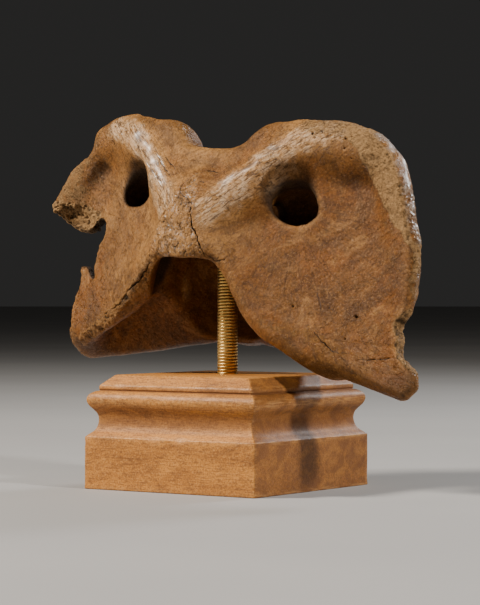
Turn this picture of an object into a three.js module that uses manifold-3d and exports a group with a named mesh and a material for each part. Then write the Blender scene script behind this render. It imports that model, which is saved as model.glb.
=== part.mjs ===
// Atlas vertebra of a steppe bison on a brass threaded rod in a moulded wooden block.
// Millimetres, +Z up. The origin is the centre of the block's underside, and the dorsal face looks along -Y.
import * as THREE from 'three';
import { mergeVertices } from 'three/addons/utils/BufferGeometryUtils.js';
import Module from 'manifold-3d';

const wasm = await Module();
wasm.setup();

const RAD = Math.PI / 180;

// Where the bone sits: its own frame has x to the viewer's right, y ventral and z cranial.
const BONE_PLACE = [-5, 2, 140];
const BONE_LEAN = 13 * RAD;
const BONE_ROLL = 4.5 * RAD;

// Box and spacing of the lattice on which the bone's surface is found, in the bone's frame.
const LATTICE_LOW = [-129.5, -48, -98];
const LATTICE_HIGH = [134, 74, 56];
const LATTICE_STEP = [5.5, 4.5, 5.5];
const RELAX_SHARE = 0.4;

// Threaded rod.
const ROD_RADIUS = 5;
const ROD_CHAMFER = 0.8;
const ROD_FOOT = 25.3;
const ROD_TOP = 158;
const ROD_SIDES = 32;
const FIT_GAP = 0.3;

// Wooden block: half width against height, from the underside to the middle of the top.
const BLOCK_PROFILE = [
  [0, 0],
  [49.4, 0],
  [50, 0.6],
  [50, 25.2],
  [48.7, 26.4],
  [46.6, 28.3],
  [45.5, 30.6],
  [45.1, 33.3],
  [45.2, 35.6],
  [45.7, 37.6],
  [47.6, 38.6],
  [49, 40.8],
  [49.4, 43.3],
  [48.6, 45.6],
  [46.6, 47.1],
  [45, 47.5],
  [44.9, 50],
  [39.2, 55.2],
  [0, 55.2],
];
const ROD_SEAT = 25;
const BLOCK_TOP = 55.2;

// Free border of the right wing with the middle of the bone, seen from the dorsal side, as x and z.
const WING_OUTLINE = [
  [-30, 24], [0, 24], [11, 24.5], [18, 27.5], [25, 33], [33, 38.5], [45, 40.5], [62, 42], [74, 40], [86, 34],
  [91.5, 29.8], [95.4, 25.9], [98.2, 21.3], [102, 13], [107.5, 1], [112, -8], [114.3, -13], [115.8, -18.5], [117, -24],
  [118.5, -38], [120, -50], [123, -66], [128, -73],
  [130, -81.5], [124.5, -89.2], [110, -85.5], [94, -79.5], [84, -77], [66, -72.5], [52, -67.5], [44, -64], [38, -59.5],
  [33, -53.7], [28, -48.2], [24, -42.6], [19, -37.6], [10, -34.5], [0, -34], [-30, -34],
];
const LEFT_WING_SHORTER = 7.5;
const LEFT_BORDER_SHORTER = 8.5;
const LEFT_CORNER = { shorter: 16, z: 29, span: 10 };
const LEFT_WING_THINNER = 1;
const LEFT_LOBE_DROP = 2.5;
const LEFT_RIDGE_DROP = 2.5;
const RIGHT_LIP_LIFT = 4;
const RIDGE_SINK = 6;
const RIGHT_ARCH = { rise: 5, x: 20, span: 9, top: -15, fade: 10 };

// Parts of the wings that are broken away, as x and z.
const LEFT_LOSS = [
  [-140, 4], [-109, -5], [-102.3, -10.5], [-98.6, -13.8], [-92.6, -17.8], [-85.9, -20.1], [-80.6, -20.8], [-73.9, -19.3],
  [-73, -16.1], [-71.5, -14.5], [-69.3, -14.3], [-66.5, -16.5], [-65, -20], [-65.8, -23.5], [-67.4, -27],
  [-67.6, -34],
  [-67.6, -39.3], [-65.5, -46], [-69, -42.5], [-72.1, -38.8], [-78.5, -38.8], [-76.5, -46.2], [-76.2, -50.9],
  [-77.6, -52.6], [-76.4, -57], [-74.4, -64], [-73, -71], [-74, -78], [-74, -100], [-140, -110],
];
const RIGHT_LOSS = [
  [155, -36], [122.5, -38], [117.5, -47], [112, -52], [112.5, -55.5], [115, -58.5], [115, -63], [117.5, -68],
  [124, -72], [128.5, -74.5], [130.5, -78.5], [155, -79.5],
];

// Round bars of the right half as x, y, z and radius. The left half mirrors them.
const CRANIAL_BAR = [
  [0, -19, -12, 9], [14, -18, -4, 9], [32, -13, 14, 9.5], [46, -6, 26, 10.5], [62, 0, 30.5, 9.5], [76, 1, 28.5, 8],
];
const WING_BORDER = [[76, 1, 28.5, 7.5], [89, 3, 22, 6], [97, 3, 7, 5.5], [105, 4, -14, 4.5], [110, 4, -36, 3.5]];
const CAUDAL_RIDGE = [
  [0, -19, -27.5, 6.5], [13, -17.5, -29.5, 6.5], [24, -12, -41.5, 5.5], [35, -8, -54, 5], [47, -6, -62.5, 5],
  [66, -4, -70, 4.5], [92, 0, -76, 4.5], [116, 4, -82, 4],
];
const LATERAL_MASS = [[46, 12, 12, 19], [44, 17, -10, 19], [42, 20, -42, 18]];
const CUP_RIM = [
  [30, -5, 28, 9], [46, -3, 30, 10], [62, 8, 29, 10], [60, 27, 24, 11], [40, 41, 20, 10.5], [16, 42, 18, 10],
  [0, 41, 14, 9],
];
const CAUDAL_LIP = [[0, 38, -50, 9], [25, 36, -58, 9], [45, 31, -63, 10], [62, 22, -69.5, 9.5], [76, 14, -75, 8.5]];
const CAUDAL_SHOULDER = [[46, 8, -52, 13], [70, 6, -66, 9]];

// Ellipsoids as centre and radii.
const DORSAL_TUBERCLE = { centre: [0, -20, -15], radii: [13, 11, 24] };
const VENTRAL_TUBERCLE = { centre: [0, 50, -42], radii: [12, 11, 18] };
const CRANIAL_CUP = { centre: [36, 16, 50], radii: [27, 27, 34] };
const CAUDAL_TROUGH = { centre: [18, 9, -86], radii: [44, 22, 39] };
const CAUDAL_FLARE = { centre: [0, 8, -44], radii: [28, 36, 34] };
const FOSSAE = [
  { centre: [45.7, 4, -2.5], radii: [15, 15, 11.5] },
  { centre: [-43.7, 4, -0.5], radii: [12, 15, 10.5] },
];
const FOSSA_APPROACHES = [
  { centre: [46, -14, 6.5], radii: [10, 9, 8.5] },
  { centre: [-44.5, -14, 6], radii: [9, 9, 7.5] },
];
const SNAPPED_HOLLOW = { centre: [-87, -4, -16], radii: [12, 8, 8] };
const CANAL_FORAMEN = { from: [42, 3, -4], to: [18, 6, -6], radius: 5 };
const WING_FORAMEN = { from: [49, 0, -2], to: [56, 36, -24], radius: 5.5 };

// Ventral arch: a bowed bar across, with its middle, half thickness, half height and half width.
const VENTRAL_ARCH = { y: 39, z: -19, thickness: 11, height: 39, width: 46, bow: 0.002 };

// Vertebral canal: half width and half height, and how fast its roof comes down towards the cranial end.
const CANAL = {
  width: 24,
  height: 20,
  y: 8,
  reach: 19,
  roofStart: -30,
  roofSlope: 0.28,
  narrowing: 0.4,
  lowering: 0.5,
};

// Sheet of the two wings and the arch between them. Its middle surface rises ventrally towards the wings, bends
// ventrally towards the cranial end, and flares dorsally at the wings' free border.
const SHEET = {
  y: -21,
  rise: { by: 24.5, start: 14, span: 94, power: 2.2 },
  bend: { slope: 0.2, start: -30, softness: 16, fade: 0.55 },
  flare: { by: 3.5, start: 60, span: 40 },
  thickness: 3.8,
  steepness: 0.9,
  inset: 1,
  borderSpan: 11,
  borderThicker: 1.2,
  cranialBorder: { thicker: 1.6, z: 15, span: 45 },
  arch: { thicker: 3.2, x: 8, span: 30 },
};

// How widely the inner corners and edges are rounded where each form joins or cuts the bone.
const ROUNDING = {
  sheet: 7,
  cranialBar: 12,
  wingBorder: 9,
  caudalRidge: 8,
  tubercle: 8,
  lateralMass: 14,
  cupRim: 12,
  ventralArch: 14,
  archJoint: 12,
  caudalLip: 10,
  ventralTubercle: 14,
  canal: 5,
  cup: 4,
  flare: 5,
  fossa: 5,
  fossaApproach: 9,
  snappedHollow: 1.5,
  canalForamen: 3,
  wingForamen: 5,
};

// Where a displacement sets in, and over what width it grows to its full.
const WING_FADE = { start: 45, span: 40 };
const BORDER_FADE = { start: 55, span: 30 };
const RIDGE_FADE = { start: 50, span: 22 };
const CAUDAL_FADE = { start: 0, span: 30 };
const LEFT_THIN_SIDE = { start: 55, span: 15 };
const LEFT_THIN_END = { start: 30, span: 12 };
const LEFT_LOBE = { x: 55, span: 30, height: 35 };

const clamp = (value, low, high) => Math.min(Math.max(value, low), high);
const bell = (value, width) => Math.exp(-((value / width) ** 2));
const ramp = (value, { start, span }) => clamp((value - start) / span, 0, 1);

// Joins two distances with a rounded inner corner of the given width.
function join(a, b, width) {
  const h = Math.max(width - Math.abs(a - b), 0) / width;
  return Math.min(a, b) - (h * h * width) / 4;
}

// Keeps what lies in both, with a rounded edge.
function common(a, b, width) {
  return -join(-a, -b, width);
}

// Takes b away from a, with a rounded edge.
function cut(a, b, width) {
  return -join(-a, b, width);
}

function ellipsoid(point, { centre, radii }) {
  const scaled = point.map((value, i) => (value - centre[i]) / radii[i]);
  const length = Math.hypot(...scaled);
  const slope = Math.hypot(...scaled.map((value, i) => value / radii[i]));
  return (length * (length - 1)) / Math.max(slope, 1e-6);
}

function capsule(point, from, to, fromRadius, toRadius = fromRadius) {
  const axis = to.map((value, i) => value - from[i]);
  const offset = point.map((value, i) => value - from[i]);
  const along = axis.reduce((sum, value, i) => sum + value * offset[i], 0);
  const share = clamp(along / axis.reduce((sum, value) => sum + value * value, 0), 0, 1);
  const away = Math.hypot(...offset.map((value, i) => value - axis[i] * share));
  return away - (fromRadius + (toRadius - fromRadius) * share);
}

function bar(point, stations) {
  let nearest = Infinity;
  for (let i = 1; i < stations.length; i += 1) {
    const from = stations[i - 1];
    const to = stations[i];
    nearest = Math.min(nearest, capsule(point, from.slice(0, 3), to.slice(0, 3), from[3], to[3]));
  }
  return nearest;
}

// Signed distance to a closed outline in the x-z plane, negative inside.
function outlineDistance(x, z, outline) {
  let nearest = Infinity;
  let inside = false;
  outline.forEach(([ax, az], i) => {
    const [bx, bz] = outline[(i + 1) % outline.length];
    const ex = bx - ax;
    const ez = bz - az;
    const share = clamp(((x - ax) * ex + (z - az) * ez) / (ex * ex + ez * ez), 0, 1);
    nearest = Math.min(nearest, Math.hypot(x - ax - ex * share, z - az - ez * share));
    if (az > z !== bz > z && x < (ex * (z - az)) / ez + ax) {
      inside = !inside;
    }
  });
  return inside ? -nearest : nearest;
}

// How much more the left wing falls short of the right one at its cranial corner.
const leftCorner = (z) => LEFT_CORNER.shorter * bell(z - LEFT_CORNER.z, LEFT_CORNER.span);

// How much higher the arch's caudal border lies on the right of the middle.
function archRise(x, z) {
  const { rise, span, top, fade } = RIGHT_ARCH;
  return x > 0 ? rise * bell(x - RIGHT_ARCH.x, span) * clamp((top - z) / fade, 0, 1) : 0;
}

// The two wings and the dorsal arch: one bent sheet of changing thickness with a thicker free border.
function sheet(x, y, z) {
  const { rise, bend, flare, cranialBorder, arch } = SHEET;
  const across = Math.abs(x);
  const shorter = x < 0 ? (LEFT_WING_SHORTER + leftCorner(z)) * ramp(across, WING_FADE) : 0;
  const border = outlineDistance(across + shorter, z - archRise(x, z), WING_OUTLINE);
  const near = bell(Math.max(-border, 0), SHEET.borderSpan);
  const risen = 1 - (1 - ramp(across, rise)) ** rise.power;
  const cranial = (z - bend.start + Math.hypot(z - bend.start, bend.softness)) / 2;
  const bent = bend.slope * cranial * (1 - bend.fade * risen);
  const middle = SHEET.y + rise.by * risen + bent - flare.by * near * ramp(across, flare);
  const thicker = SHEET.borderThicker + cranialBorder.thicker * bell(z - cranialBorder.z, cranialBorder.span);
  const thinner = LEFT_WING_THINNER * ramp(-x, LEFT_THIN_SIDE) * ramp(-z, LEFT_THIN_END);
  const thickness = SHEET.thickness + near * thicker + arch.thicker * bell(across - arch.x, arch.span) - thinner;
  return common((Math.abs(y - middle) - thickness) * SHEET.steepness, border + SHEET.inset, ROUNDING.sheet);
}

// Everything ventral to the sheet: lateral masses, rims of the cups, ventral arch and caudal lip.
function body(solid, point, mirrored) {
  const { y, z, thickness, height, width, bow } = VENTRAL_ARCH;
  const lift = point[0] > 0 ? RIGHT_LIP_LIFT * ramp(mirrored[0], CAUDAL_FADE) : 0;
  const raised = [mirrored[0], mirrored[1], mirrored[2] - lift];
  const away = Math.abs(point[1] - y + bow * point[0] ** 2) - thickness;
  const flat = common(away, Math.abs(point[2] - z) - height, ROUNDING.ventralArch);
  const plate = common(flat, mirrored[0] - width, ROUNDING.ventralArch);
  let result = join(solid, bar(mirrored, LATERAL_MASS), ROUNDING.lateralMass);
  result = join(result, bar(mirrored, CUP_RIM), ROUNDING.cupRim);
  result = join(result, plate, ROUNDING.archJoint);
  result = join(result, bar(raised, CAUDAL_LIP), ROUNDING.caudalLip);
  result = join(result, bar(mirrored, CAUDAL_SHOULDER), ROUNDING.caudalLip);
  return join(result, ellipsoid(point, VENTRAL_TUBERCLE), ROUNDING.ventralTubercle);
}

// Canal, articular hollows, fossae and foramina.
function openings(solid, point, mirrored) {
  const [x, y, z] = point;
  const drop = Math.max(CANAL.roofSlope * (z - CANAL.roofStart), 0);
  const halfHeight = CANAL.height - CANAL.narrowing * drop;
  const canal = (Math.hypot(x / CANAL.width, (y - CANAL.y - CANAL.lowering * drop) / halfHeight) - 1) * CANAL.reach;
  const foramina = [CANAL_FORAMEN, WING_FORAMEN].map(({ from, to, radius }) => capsule(mirrored, from, to, radius));
  let result = cut(solid, canal, ROUNDING.canal);
  result = cut(result, ellipsoid(mirrored, CRANIAL_CUP), ROUNDING.cup);
  result = cut(result, ellipsoid(mirrored, CAUDAL_TROUGH), ROUNDING.cup);
  result = cut(result, ellipsoid(point, CAUDAL_FLARE), ROUNDING.flare);
  FOSSAE.forEach((fossa) => { result = cut(result, ellipsoid(point, fossa), ROUNDING.fossa); });
  FOSSA_APPROACHES.forEach((approach) => {
    result = cut(result, ellipsoid(point, approach), ROUNDING.fossaApproach);
  });
  result = cut(result, ellipsoid(point, SNAPPED_HOLLOW), ROUNDING.snappedHollow);
  result = cut(result, foramina[0], ROUNDING.canalForamen);
  return cut(result, foramina[1], ROUNDING.wingForamen);
}

// Distance-like field of the whole bone before its breaks, negative inside.
function boneField(x, y, height) {
  const across = Math.abs(x);
  const lobe = bell(across - LEFT_LOBE.x, LEFT_LOBE.span) * clamp(height / LEFT_LOBE.height, 0, 1);
  const z = height + (x < 0 ? LEFT_LOBE_DROP * lobe : 0);
  const point = [x, y, z];
  const mirrored = [across, y, z];
  const drop = x < 0 ? LEFT_RIDGE_DROP * ramp(across, CAUDAL_FADE) : 0;
  const ridgePoint = [across, y - RIDGE_SINK * ramp(across, RIDGE_FADE), z + drop - archRise(x, z)];
  const inset = x < 0 ? (LEFT_BORDER_SHORTER + leftCorner(z)) * ramp(across, BORDER_FADE) : 0;
  const borderPoint = [across + inset, y, z];
  let solid = sheet(x, y, z);
  solid = join(solid, bar(mirrored, CRANIAL_BAR), ROUNDING.cranialBar);
  solid = join(solid, bar(borderPoint, WING_BORDER), ROUNDING.wingBorder);
  solid = join(solid, bar(ridgePoint, CAUDAL_RIDGE), ROUNDING.caudalRidge);
  solid = join(solid, ellipsoid(point, DORSAL_TUBERCLE), ROUNDING.tubercle);
  solid = body(solid, point, mirrored);
  return openings(solid, point, mirrored);
}

// The twelve edges of a lattice cell, as axis and place, with the corners that they join.
const CELL_EDGES = [0, 1, 2].flatMap((axis) =>
  [0, 1].flatMap((p) =>
    [0, 1].map((q) => {
      const start = [0, 0, 0];
      start[(axis + 1) % 3] = p;
      start[(axis + 2) % 3] = q;
      const end = [...start];
      end[axis] = 1;
      return { axis, start, end };
    }),
  ),
);

const cornerKey = (corner) => corner[0] * 4 + corner[1] * 2 + corner[2];

// The six faces of a cell, as the edges that lie in each.
const CELL_FACES = [0, 1, 2].flatMap((axis) =>
  [0, 1].map((side) =>
    CELL_EDGES.map((edge, i) => i).filter((i) =>
      [CELL_EDGES[i].start, CELL_EDGES[i].end].every((corner) => corner[axis] === side),
    ),
  ),
);

// Groups the crossed edges of a cell into separate pieces of surface.
function surfacePieces(crossed, inside) {
  const group = CELL_EDGES.map((edge, i) => i);
  const root = (i) => (group[i] === i ? i : root(group[i]));
  const link = (edges) => edges.slice(1).forEach((i) => { group[root(i)] = root(edges[0]); });
  CELL_FACES.forEach((face) => {
    const hits = face.filter((i) => crossed[i]);
    if (hits.length === 2) {
      link(hits);
      return;
    }
    hits.forEach((i) => {
      const { start, end } = CELL_EDGES[i];
      const corner = inside[cornerKey(start)] ? cornerKey(start) : cornerKey(end);
      link(hits.filter((j) => [CELL_EDGES[j].start, CELL_EDGES[j].end].some((c) => cornerKey(c) === corner)));
    });
  });
  return CELL_EDGES.map((edge, i) => (crossed[i] ? root(i) : -1));
}

// Moves each point a share of the way to the middle of the points that it is joined to.
function relaxed(positions, triangles, share) {
  const sums = positions.map(() => 0);
  const counts = new Array(positions.length / 3).fill(0);
  for (let i = 0; i < triangles.length; i += 3) {
    [0, 1, 2].forEach((corner) => {
      const here = triangles[i + corner];
      const next = triangles[i + ((corner + 1) % 3)];
      counts[here] += 1;
      [0, 1, 2].forEach((m) => { sums[3 * here + m] += positions[3 * next + m]; });
    });
  }
  return positions.map((value, i) => value + share * (sums[i] / counts[Math.floor(i / 3)] - value));
}

// Finds the zero surface of a field on a lattice, with one vertex for each piece of surface in a cell.
function latticeSurface(field, low, high, step) {
  const count = low.map((start, i) => Math.ceil((high[i] - start) / step[i]) + 1);
  const node = (i, j, k) => (i * count[1] + j) * count[2] + k;
  const values = new Float64Array(count[0] * count[1] * count[2]);
  for (let i = 0; i < count[0]; i += 1) {
    for (let j = 0; j < count[1]; j += 1) {
      for (let k = 0; k < count[2]; k += 1) {
        values[node(i, j, k)] = field(low[0] + i * step[0], low[1] + j * step[1], low[2] + k * step[2]);
      }
    }
  }
  const positions = [];
  const vertexAt = new Map();
  const addCell = (i, j, k) => {
    const place = [i, j, k];
    const at = (corner) => values[node(i + corner[0], j + corner[1], k + corner[2])];
    const inside = [];
    CELL_EDGES.forEach(({ start, end }) => {
      inside[cornerKey(start)] = at(start) < 0;
      inside[cornerKey(end)] = at(end) < 0;
    });
    const crossed = CELL_EDGES.map(({ start, end }) => inside[cornerKey(start)] !== inside[cornerKey(end)]);
    if (!crossed.includes(true)) {
      return;
    }
    const pieces = surfacePieces(crossed, inside);
    new Set(pieces.filter((piece) => piece >= 0)).forEach((piece) => {
      const edges = CELL_EDGES.map((edge, index) => index).filter((index) => pieces[index] === piece);
      const sum = [0, 0, 0];
      edges.forEach((index) => {
        const { axis, start, end } = CELL_EDGES[index];
        start.forEach((value, m) => { sum[m] += value; });
        sum[axis] += at(start) / (at(start) - at(end));
        vertexAt.set(node(i, j, k) * 12 + index, positions.length / 3);
      });
      positions.push(...sum.map((value, m) => low[m] + (place[m] + value / edges.length) * step[m]));
    });
  };
  for (let i = 0; i < count[0] - 1; i += 1) {
    for (let j = 0; j < count[1] - 1; j += 1) {
      for (let k = 0; k < count[2] - 1; k += 1) {
        addCell(i, j, k);
      }
    }
  }
  const triangles = [];
  const away = (a, b) => Math.hypot(...[0, 1, 2].map((m) => positions[3 * a + m] - positions[3 * b + m]));
  const addQuad = (place, axis) => {
    const u = (axis + 1) % 3;
    const v = (axis + 2) % 3;
    const corners = [[1, 1], [0, 1], [0, 0], [1, 0]].map(([p, q]) => {
      const cell = [...place];
      cell[u] -= p;
      cell[v] -= q;
      return vertexAt.get(node(...cell) * 12 + axis * 4 + p * 2 + q);
    });
    const [a, b, c, d] = values[node(...place)] < 0 ? corners : corners.reverse();
    triangles.push(...(away(a, c) < away(b, d) ? [a, b, c, a, c, d] : [b, c, d, b, d, a]));
  };
  for (let i = 1; i < count[0] - 1; i += 1) {
    for (let j = 1; j < count[1] - 1; j += 1) {
      for (let k = 1; k < count[2] - 1; k += 1) {
        [[1, 0, 0], [0, 1, 0], [0, 0, 1]].forEach((ahead, axis) => {
          const here = values[node(i, j, k)] < 0;
          const next = values[node(i + ahead[0], j + ahead[1], k + ahead[2])] < 0;
          if (here !== next) {
            addQuad([i, j, k], axis);
          }
        });
      }
    }
  }
  const geometry = new THREE.BufferGeometry();
  geometry.setAttribute('position', new THREE.Float32BufferAttribute(relaxed(positions, triangles, RELAX_SHARE), 3));
  geometry.setIndex(triangles);
  return geometry;
}

// Turns a closed geometry into a solid that can be cut.
function solidOf(geometry) {
  const bare = geometry.clone();
  bare.deleteAttribute('normal');
  bare.deleteAttribute('uv');
  const merged = mergeVertices(bare, 1e-4);
  const index = Array.from(merged.index.array);
  const kept = [];
  for (let i = 0; i < index.length; i += 3) {
    const [a, b, c] = index.slice(i, i + 3);
    if (a !== b && b !== c && c !== a) {
      kept.push(a, b, c);
    }
  }
  return new wasm.Manifold(
    new wasm.Mesh({
      numProp: 3,
      vertProperties: new Float32Array(merged.attributes.position.array),
      triVerts: new Uint32Array(kept),
    }),
  );
}

function geometryOf(solid) {
  const { vertProperties, triVerts } = solid.getMesh();
  const geometry = new THREE.BufferGeometry();
  geometry.setAttribute('position', new THREE.Float32BufferAttribute(vertProperties, 3));
  geometry.setIndex(Array.from(triVerts));
  geometry.computeVertexNormals();
  return geometry;
}

// A body of revolution about Z from radius and height stations that start and end on the axis.
function turned(stations, sides, start = 0) {
  const profile = stations.map(([radius, height]) => new THREE.Vector2(radius, height));
  return new THREE.LatheGeometry(profile, sides, start).rotateX(Math.PI / 2);
}

// A plain round rod between two heights, with chamfered ends.
function rodGeometry(radius, foot, top, chamfer) {
  return turned(
    [
      [0, foot],
      [radius - chamfer, foot],
      [radius, foot + chamfer],
      [radius, top - chamfer],
      [radius - chamfer, top],
      [0, top],
    ],
    ROD_SIDES,
  );
}

// An upright slab with the given outline in x and z, which reaches through the bone along y.
function slab(outline) {
  const shape = new THREE.Shape(outline.map(([x, z]) => new THREE.Vector2(x, z)));
  const depth = LATTICE_HIGH[1] - LATTICE_LOW[1];
  const geometry = new THREE.ExtrudeGeometry(shape, { depth, bevelEnabled: false, curveSegments: 1 });
  return geometry.rotateX(Math.PI / 2).translate(0, LATTICE_HIGH[1], 0);
}

// The block is a lathe body of four sides, so its half widths become corner radii.
const block = turned(BLOCK_PROFILE.map(([half, height]) => [half * Math.SQRT2, height]), 4, Math.PI / 4);
const seat = rodGeometry(ROD_RADIUS + FIT_GAP, ROD_SEAT, BLOCK_TOP + 5, ROD_CHAMFER);
const rod = rodGeometry(ROD_RADIUS, ROD_FOOT, ROD_TOP, ROD_CHAMFER);
const drilled = rodGeometry(ROD_RADIUS + FIT_GAP, ROD_FOOT, ROD_TOP + FIT_GAP, ROD_CHAMFER);

const boneFrame = new THREE.Group();
boneFrame.position.set(...BONE_PLACE);
boneFrame.rotation.set(-BONE_LEAN, BONE_ROLL, 0, 'YXZ');
boneFrame.updateMatrixWorld(true);

const bone = latticeSurface(boneField, LATTICE_LOW, LATTICE_HIGH, LATTICE_STEP);
const drill = drilled.applyMatrix4(boneFrame.matrixWorld.clone().invert());

const boneMaterial = new THREE.MeshStandardMaterial({ color: 0x8a5f3d, roughness: 0.55, metalness: 0 });
const brassMaterial = new THREE.MeshStandardMaterial({ color: 0xb8913f, roughness: 0.3, metalness: 1 });
const woodMaterial = new THREE.MeshStandardMaterial({ color: 0x9a6a35, roughness: 0.5, metalness: 0 });

const broken = [LEFT_LOSS, RIGHT_LOSS].reduce((solid, loss) => solid.subtract(solidOf(slab(loss))), solidOf(bone));
const vertebra = new THREE.Mesh(geometryOf(broken.subtract(solidOf(drill))), boneMaterial);
vertebra.name = 'vertebra';
boneFrame.add(vertebra);

const threadedRod = new THREE.Mesh(geometryOf(solidOf(rod)), brassMaterial);
threadedRod.name = 'threaded_rod';

const woodenBlock = new THREE.Mesh(geometryOf(solidOf(block).subtract(solidOf(seat))), woodMaterial);
woodenBlock.name = 'wooden_block';

const object = new THREE.Group();
object.add(woodenBlock, threadedRod, boneFrame);

export default object;
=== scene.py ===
"""Fossil bison atlas on a brass rod in a moulded wooden block, dressed over its fixed CAD frame.

Sizes are in millimetres and become metres where a mesh is made. The bone has a frame of its own, with x to
the viewer's right, y ventral and z cranial, and BonePose carries it into the row's frame.
"""

import logging
import math
from dataclasses import dataclass
from enum import Enum
from typing import Any, Mapping, Optional, Sequence, Union

import bmesh
import bpy
import numpy as np
from mathutils import Matrix, Vector

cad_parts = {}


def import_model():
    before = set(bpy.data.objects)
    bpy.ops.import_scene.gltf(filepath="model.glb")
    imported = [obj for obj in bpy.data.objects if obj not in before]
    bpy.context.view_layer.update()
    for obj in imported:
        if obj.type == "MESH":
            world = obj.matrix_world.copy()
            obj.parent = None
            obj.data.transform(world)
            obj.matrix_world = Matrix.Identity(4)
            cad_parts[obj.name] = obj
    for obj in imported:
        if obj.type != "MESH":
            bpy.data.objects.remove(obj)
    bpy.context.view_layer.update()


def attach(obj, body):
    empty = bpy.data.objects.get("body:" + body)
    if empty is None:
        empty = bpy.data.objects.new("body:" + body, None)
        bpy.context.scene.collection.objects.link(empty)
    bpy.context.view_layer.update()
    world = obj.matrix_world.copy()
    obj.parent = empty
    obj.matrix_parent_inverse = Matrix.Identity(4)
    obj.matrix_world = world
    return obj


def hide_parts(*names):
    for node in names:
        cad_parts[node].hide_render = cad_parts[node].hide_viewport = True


LOG = logging.getLogger("bison_atlas")
MM = 0.001
PHOTO_LONG_SIDE = 605

Array = np.ndarray
Triple = tuple[float, float, float]
Path = tuple[tuple[float, float], ...]
Stations = tuple[tuple[float, float, float, float], ...]
Number = Union[int, float]


def bell(value: Array, width: float) -> Array:
    """Gives a bell curve of a value, 1 at zero."""
    return np.exp(-((value / width) ** 2))


def ease(value: Array, low: float, high: float) -> Array:
    """Rises smoothly from 0 at low to 1 at high, or falls where low is the larger."""
    share = np.clip((value - low) / (high - low), 0.0, 1.0)
    return share * share * (3.0 - 2.0 * share)


def join(first: Array, second: Array, width: float) -> Array:
    """Joins two distances with a rounded inner corner of the given width."""
    near = np.maximum(width - np.abs(first - second), 0.0) / width
    return np.minimum(first, second) - near * near * width * 0.25


def common(first: Array, second: Array, width: float) -> Array:
    """Keeps what lies in both, with a rounded edge."""
    return -join(-first, -second, width)


def cut(first: Array, second: Array, width: float) -> Array:
    """Takes the second away from the first, with a rounded edge."""
    return -join(-first, second, width)


def capsule(
    x: Array,
    y: Array,
    z: Array,
    start: Sequence[float],
    end: Sequence[float],
    radii: tuple[float, float],
) -> Array:
    """Gives the distance to a round bar whose radius changes from one end to the other."""
    axis = [b - a for a, b in zip(start, end)]
    offset = [value - a for value, a in zip((x, y, z), start)]
    length = sum(a * a for a in axis)
    share = np.clip(sum(o * a for o, a in zip(offset, axis)) / length, 0.0, 1.0)
    away = np.sqrt(sum((o - share * a) ** 2 for o, a in zip(offset, axis)))
    return away - (radii[0] + (radii[1] - radii[0]) * share)


def bar(x: Array, y: Array, z: Array, stations: Stations) -> Array:
    """Gives the distance to a chain of round bars."""
    parts = [
        capsule(x, y, z, a[:3], b[:3], (a[3], b[3]))
        for a, b in zip(stations[:-1], stations[1:])
    ]
    return np.minimum.reduce(np.broadcast_arrays(*parts))


def outline_distance(x: Array, z: Array, outline: Path) -> Array:
    """Gives the signed distance to a closed outline in the x-z plane, negative inside."""
    x, z = np.broadcast_arrays(x, z)
    nearest = np.full(x.shape, np.inf)
    inside = np.zeros(x.shape, bool)
    for (ax, az), (bx, bz) in zip(outline, outline[1:] + outline[:1]):
        ex, ez = bx - ax, bz - az
        share = np.clip(((x - ax) * ex + (z - az) * ez) / (ex * ex + ez * ez), 0.0, 1.0)
        nearest = np.minimum(nearest, np.hypot(x - ax - ex * share, z - az - ez * share))
        if az != bz:
            inside ^= ((az > z) != (bz > z)) & (x < ex * (z - az) / ez + ax)
    return np.where(inside, -nearest, nearest)


def path_distance(x: Array, z: Array, path: Path) -> tuple[Array, Array]:
    """Measures points against an open path in the x-z plane.

    Args:
        x: First coordinate of the points.
        z: Second coordinate of the points.
        path: The path's corners.

    Returns:
        The signed distance, positive on the path's right, and the share of the path's length at the nearest
        point.
    """
    lengths = [math.dist(a, b) for a, b in zip(path[:-1], path[1:])]
    nearest = np.full(x.shape, np.inf)
    signed = np.zeros(x.shape)
    along = np.zeros(x.shape)
    walked = 0.0
    for (ax, az), (bx, bz), length in zip(path[:-1], path[1:], lengths):
        ex, ez = (bx - ax) / length, (bz - az) / length
        step = np.clip((x - ax) * ex + (z - az) * ez, 0.0, length)
        away = np.hypot(x - ax - ex * step, z - az - ez * step)
        closer = away < nearest
        side = np.where((x - ax) * ez - (z - az) * ex >= 0.0, 1.0, -1.0)
        nearest = np.where(closer, away, nearest)
        signed = np.where(closer, side * away, signed)
        along = np.where(closer, (walked + step) / sum(lengths), along)
        walked += length
    return signed, along


@dataclass(frozen=True)
class Ball:
    """An ellipsoid given by its centre and radii."""

    centre: Triple
    radii: Triple

    def distance(self, x: Array, y: Array, z: Array) -> Array:
        """Gives a distance-like value, negative inside."""
        scaled = [(v - c) / r for v, c, r in zip((x, y, z), self.centre, self.radii)]
        length = np.sqrt(sum(s * s for s in scaled))
        slope = np.sqrt(sum((s / r) ** 2 for s, r in zip(scaled, self.radii)))
        return length * (length - 1.0) / np.maximum(slope, 1e-6)


@dataclass(frozen=True)
class Crack:
    """A crack on the dorsal face, as its path in x and z, its width and its depth."""

    path: Path
    width: float
    depth: float


@dataclass(frozen=True)
class Pit:
    """A vascular hole on the dorsal face, as its place in x and z, its radius and its depth."""

    x: float
    z: float
    radius: float
    depth: float


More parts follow.
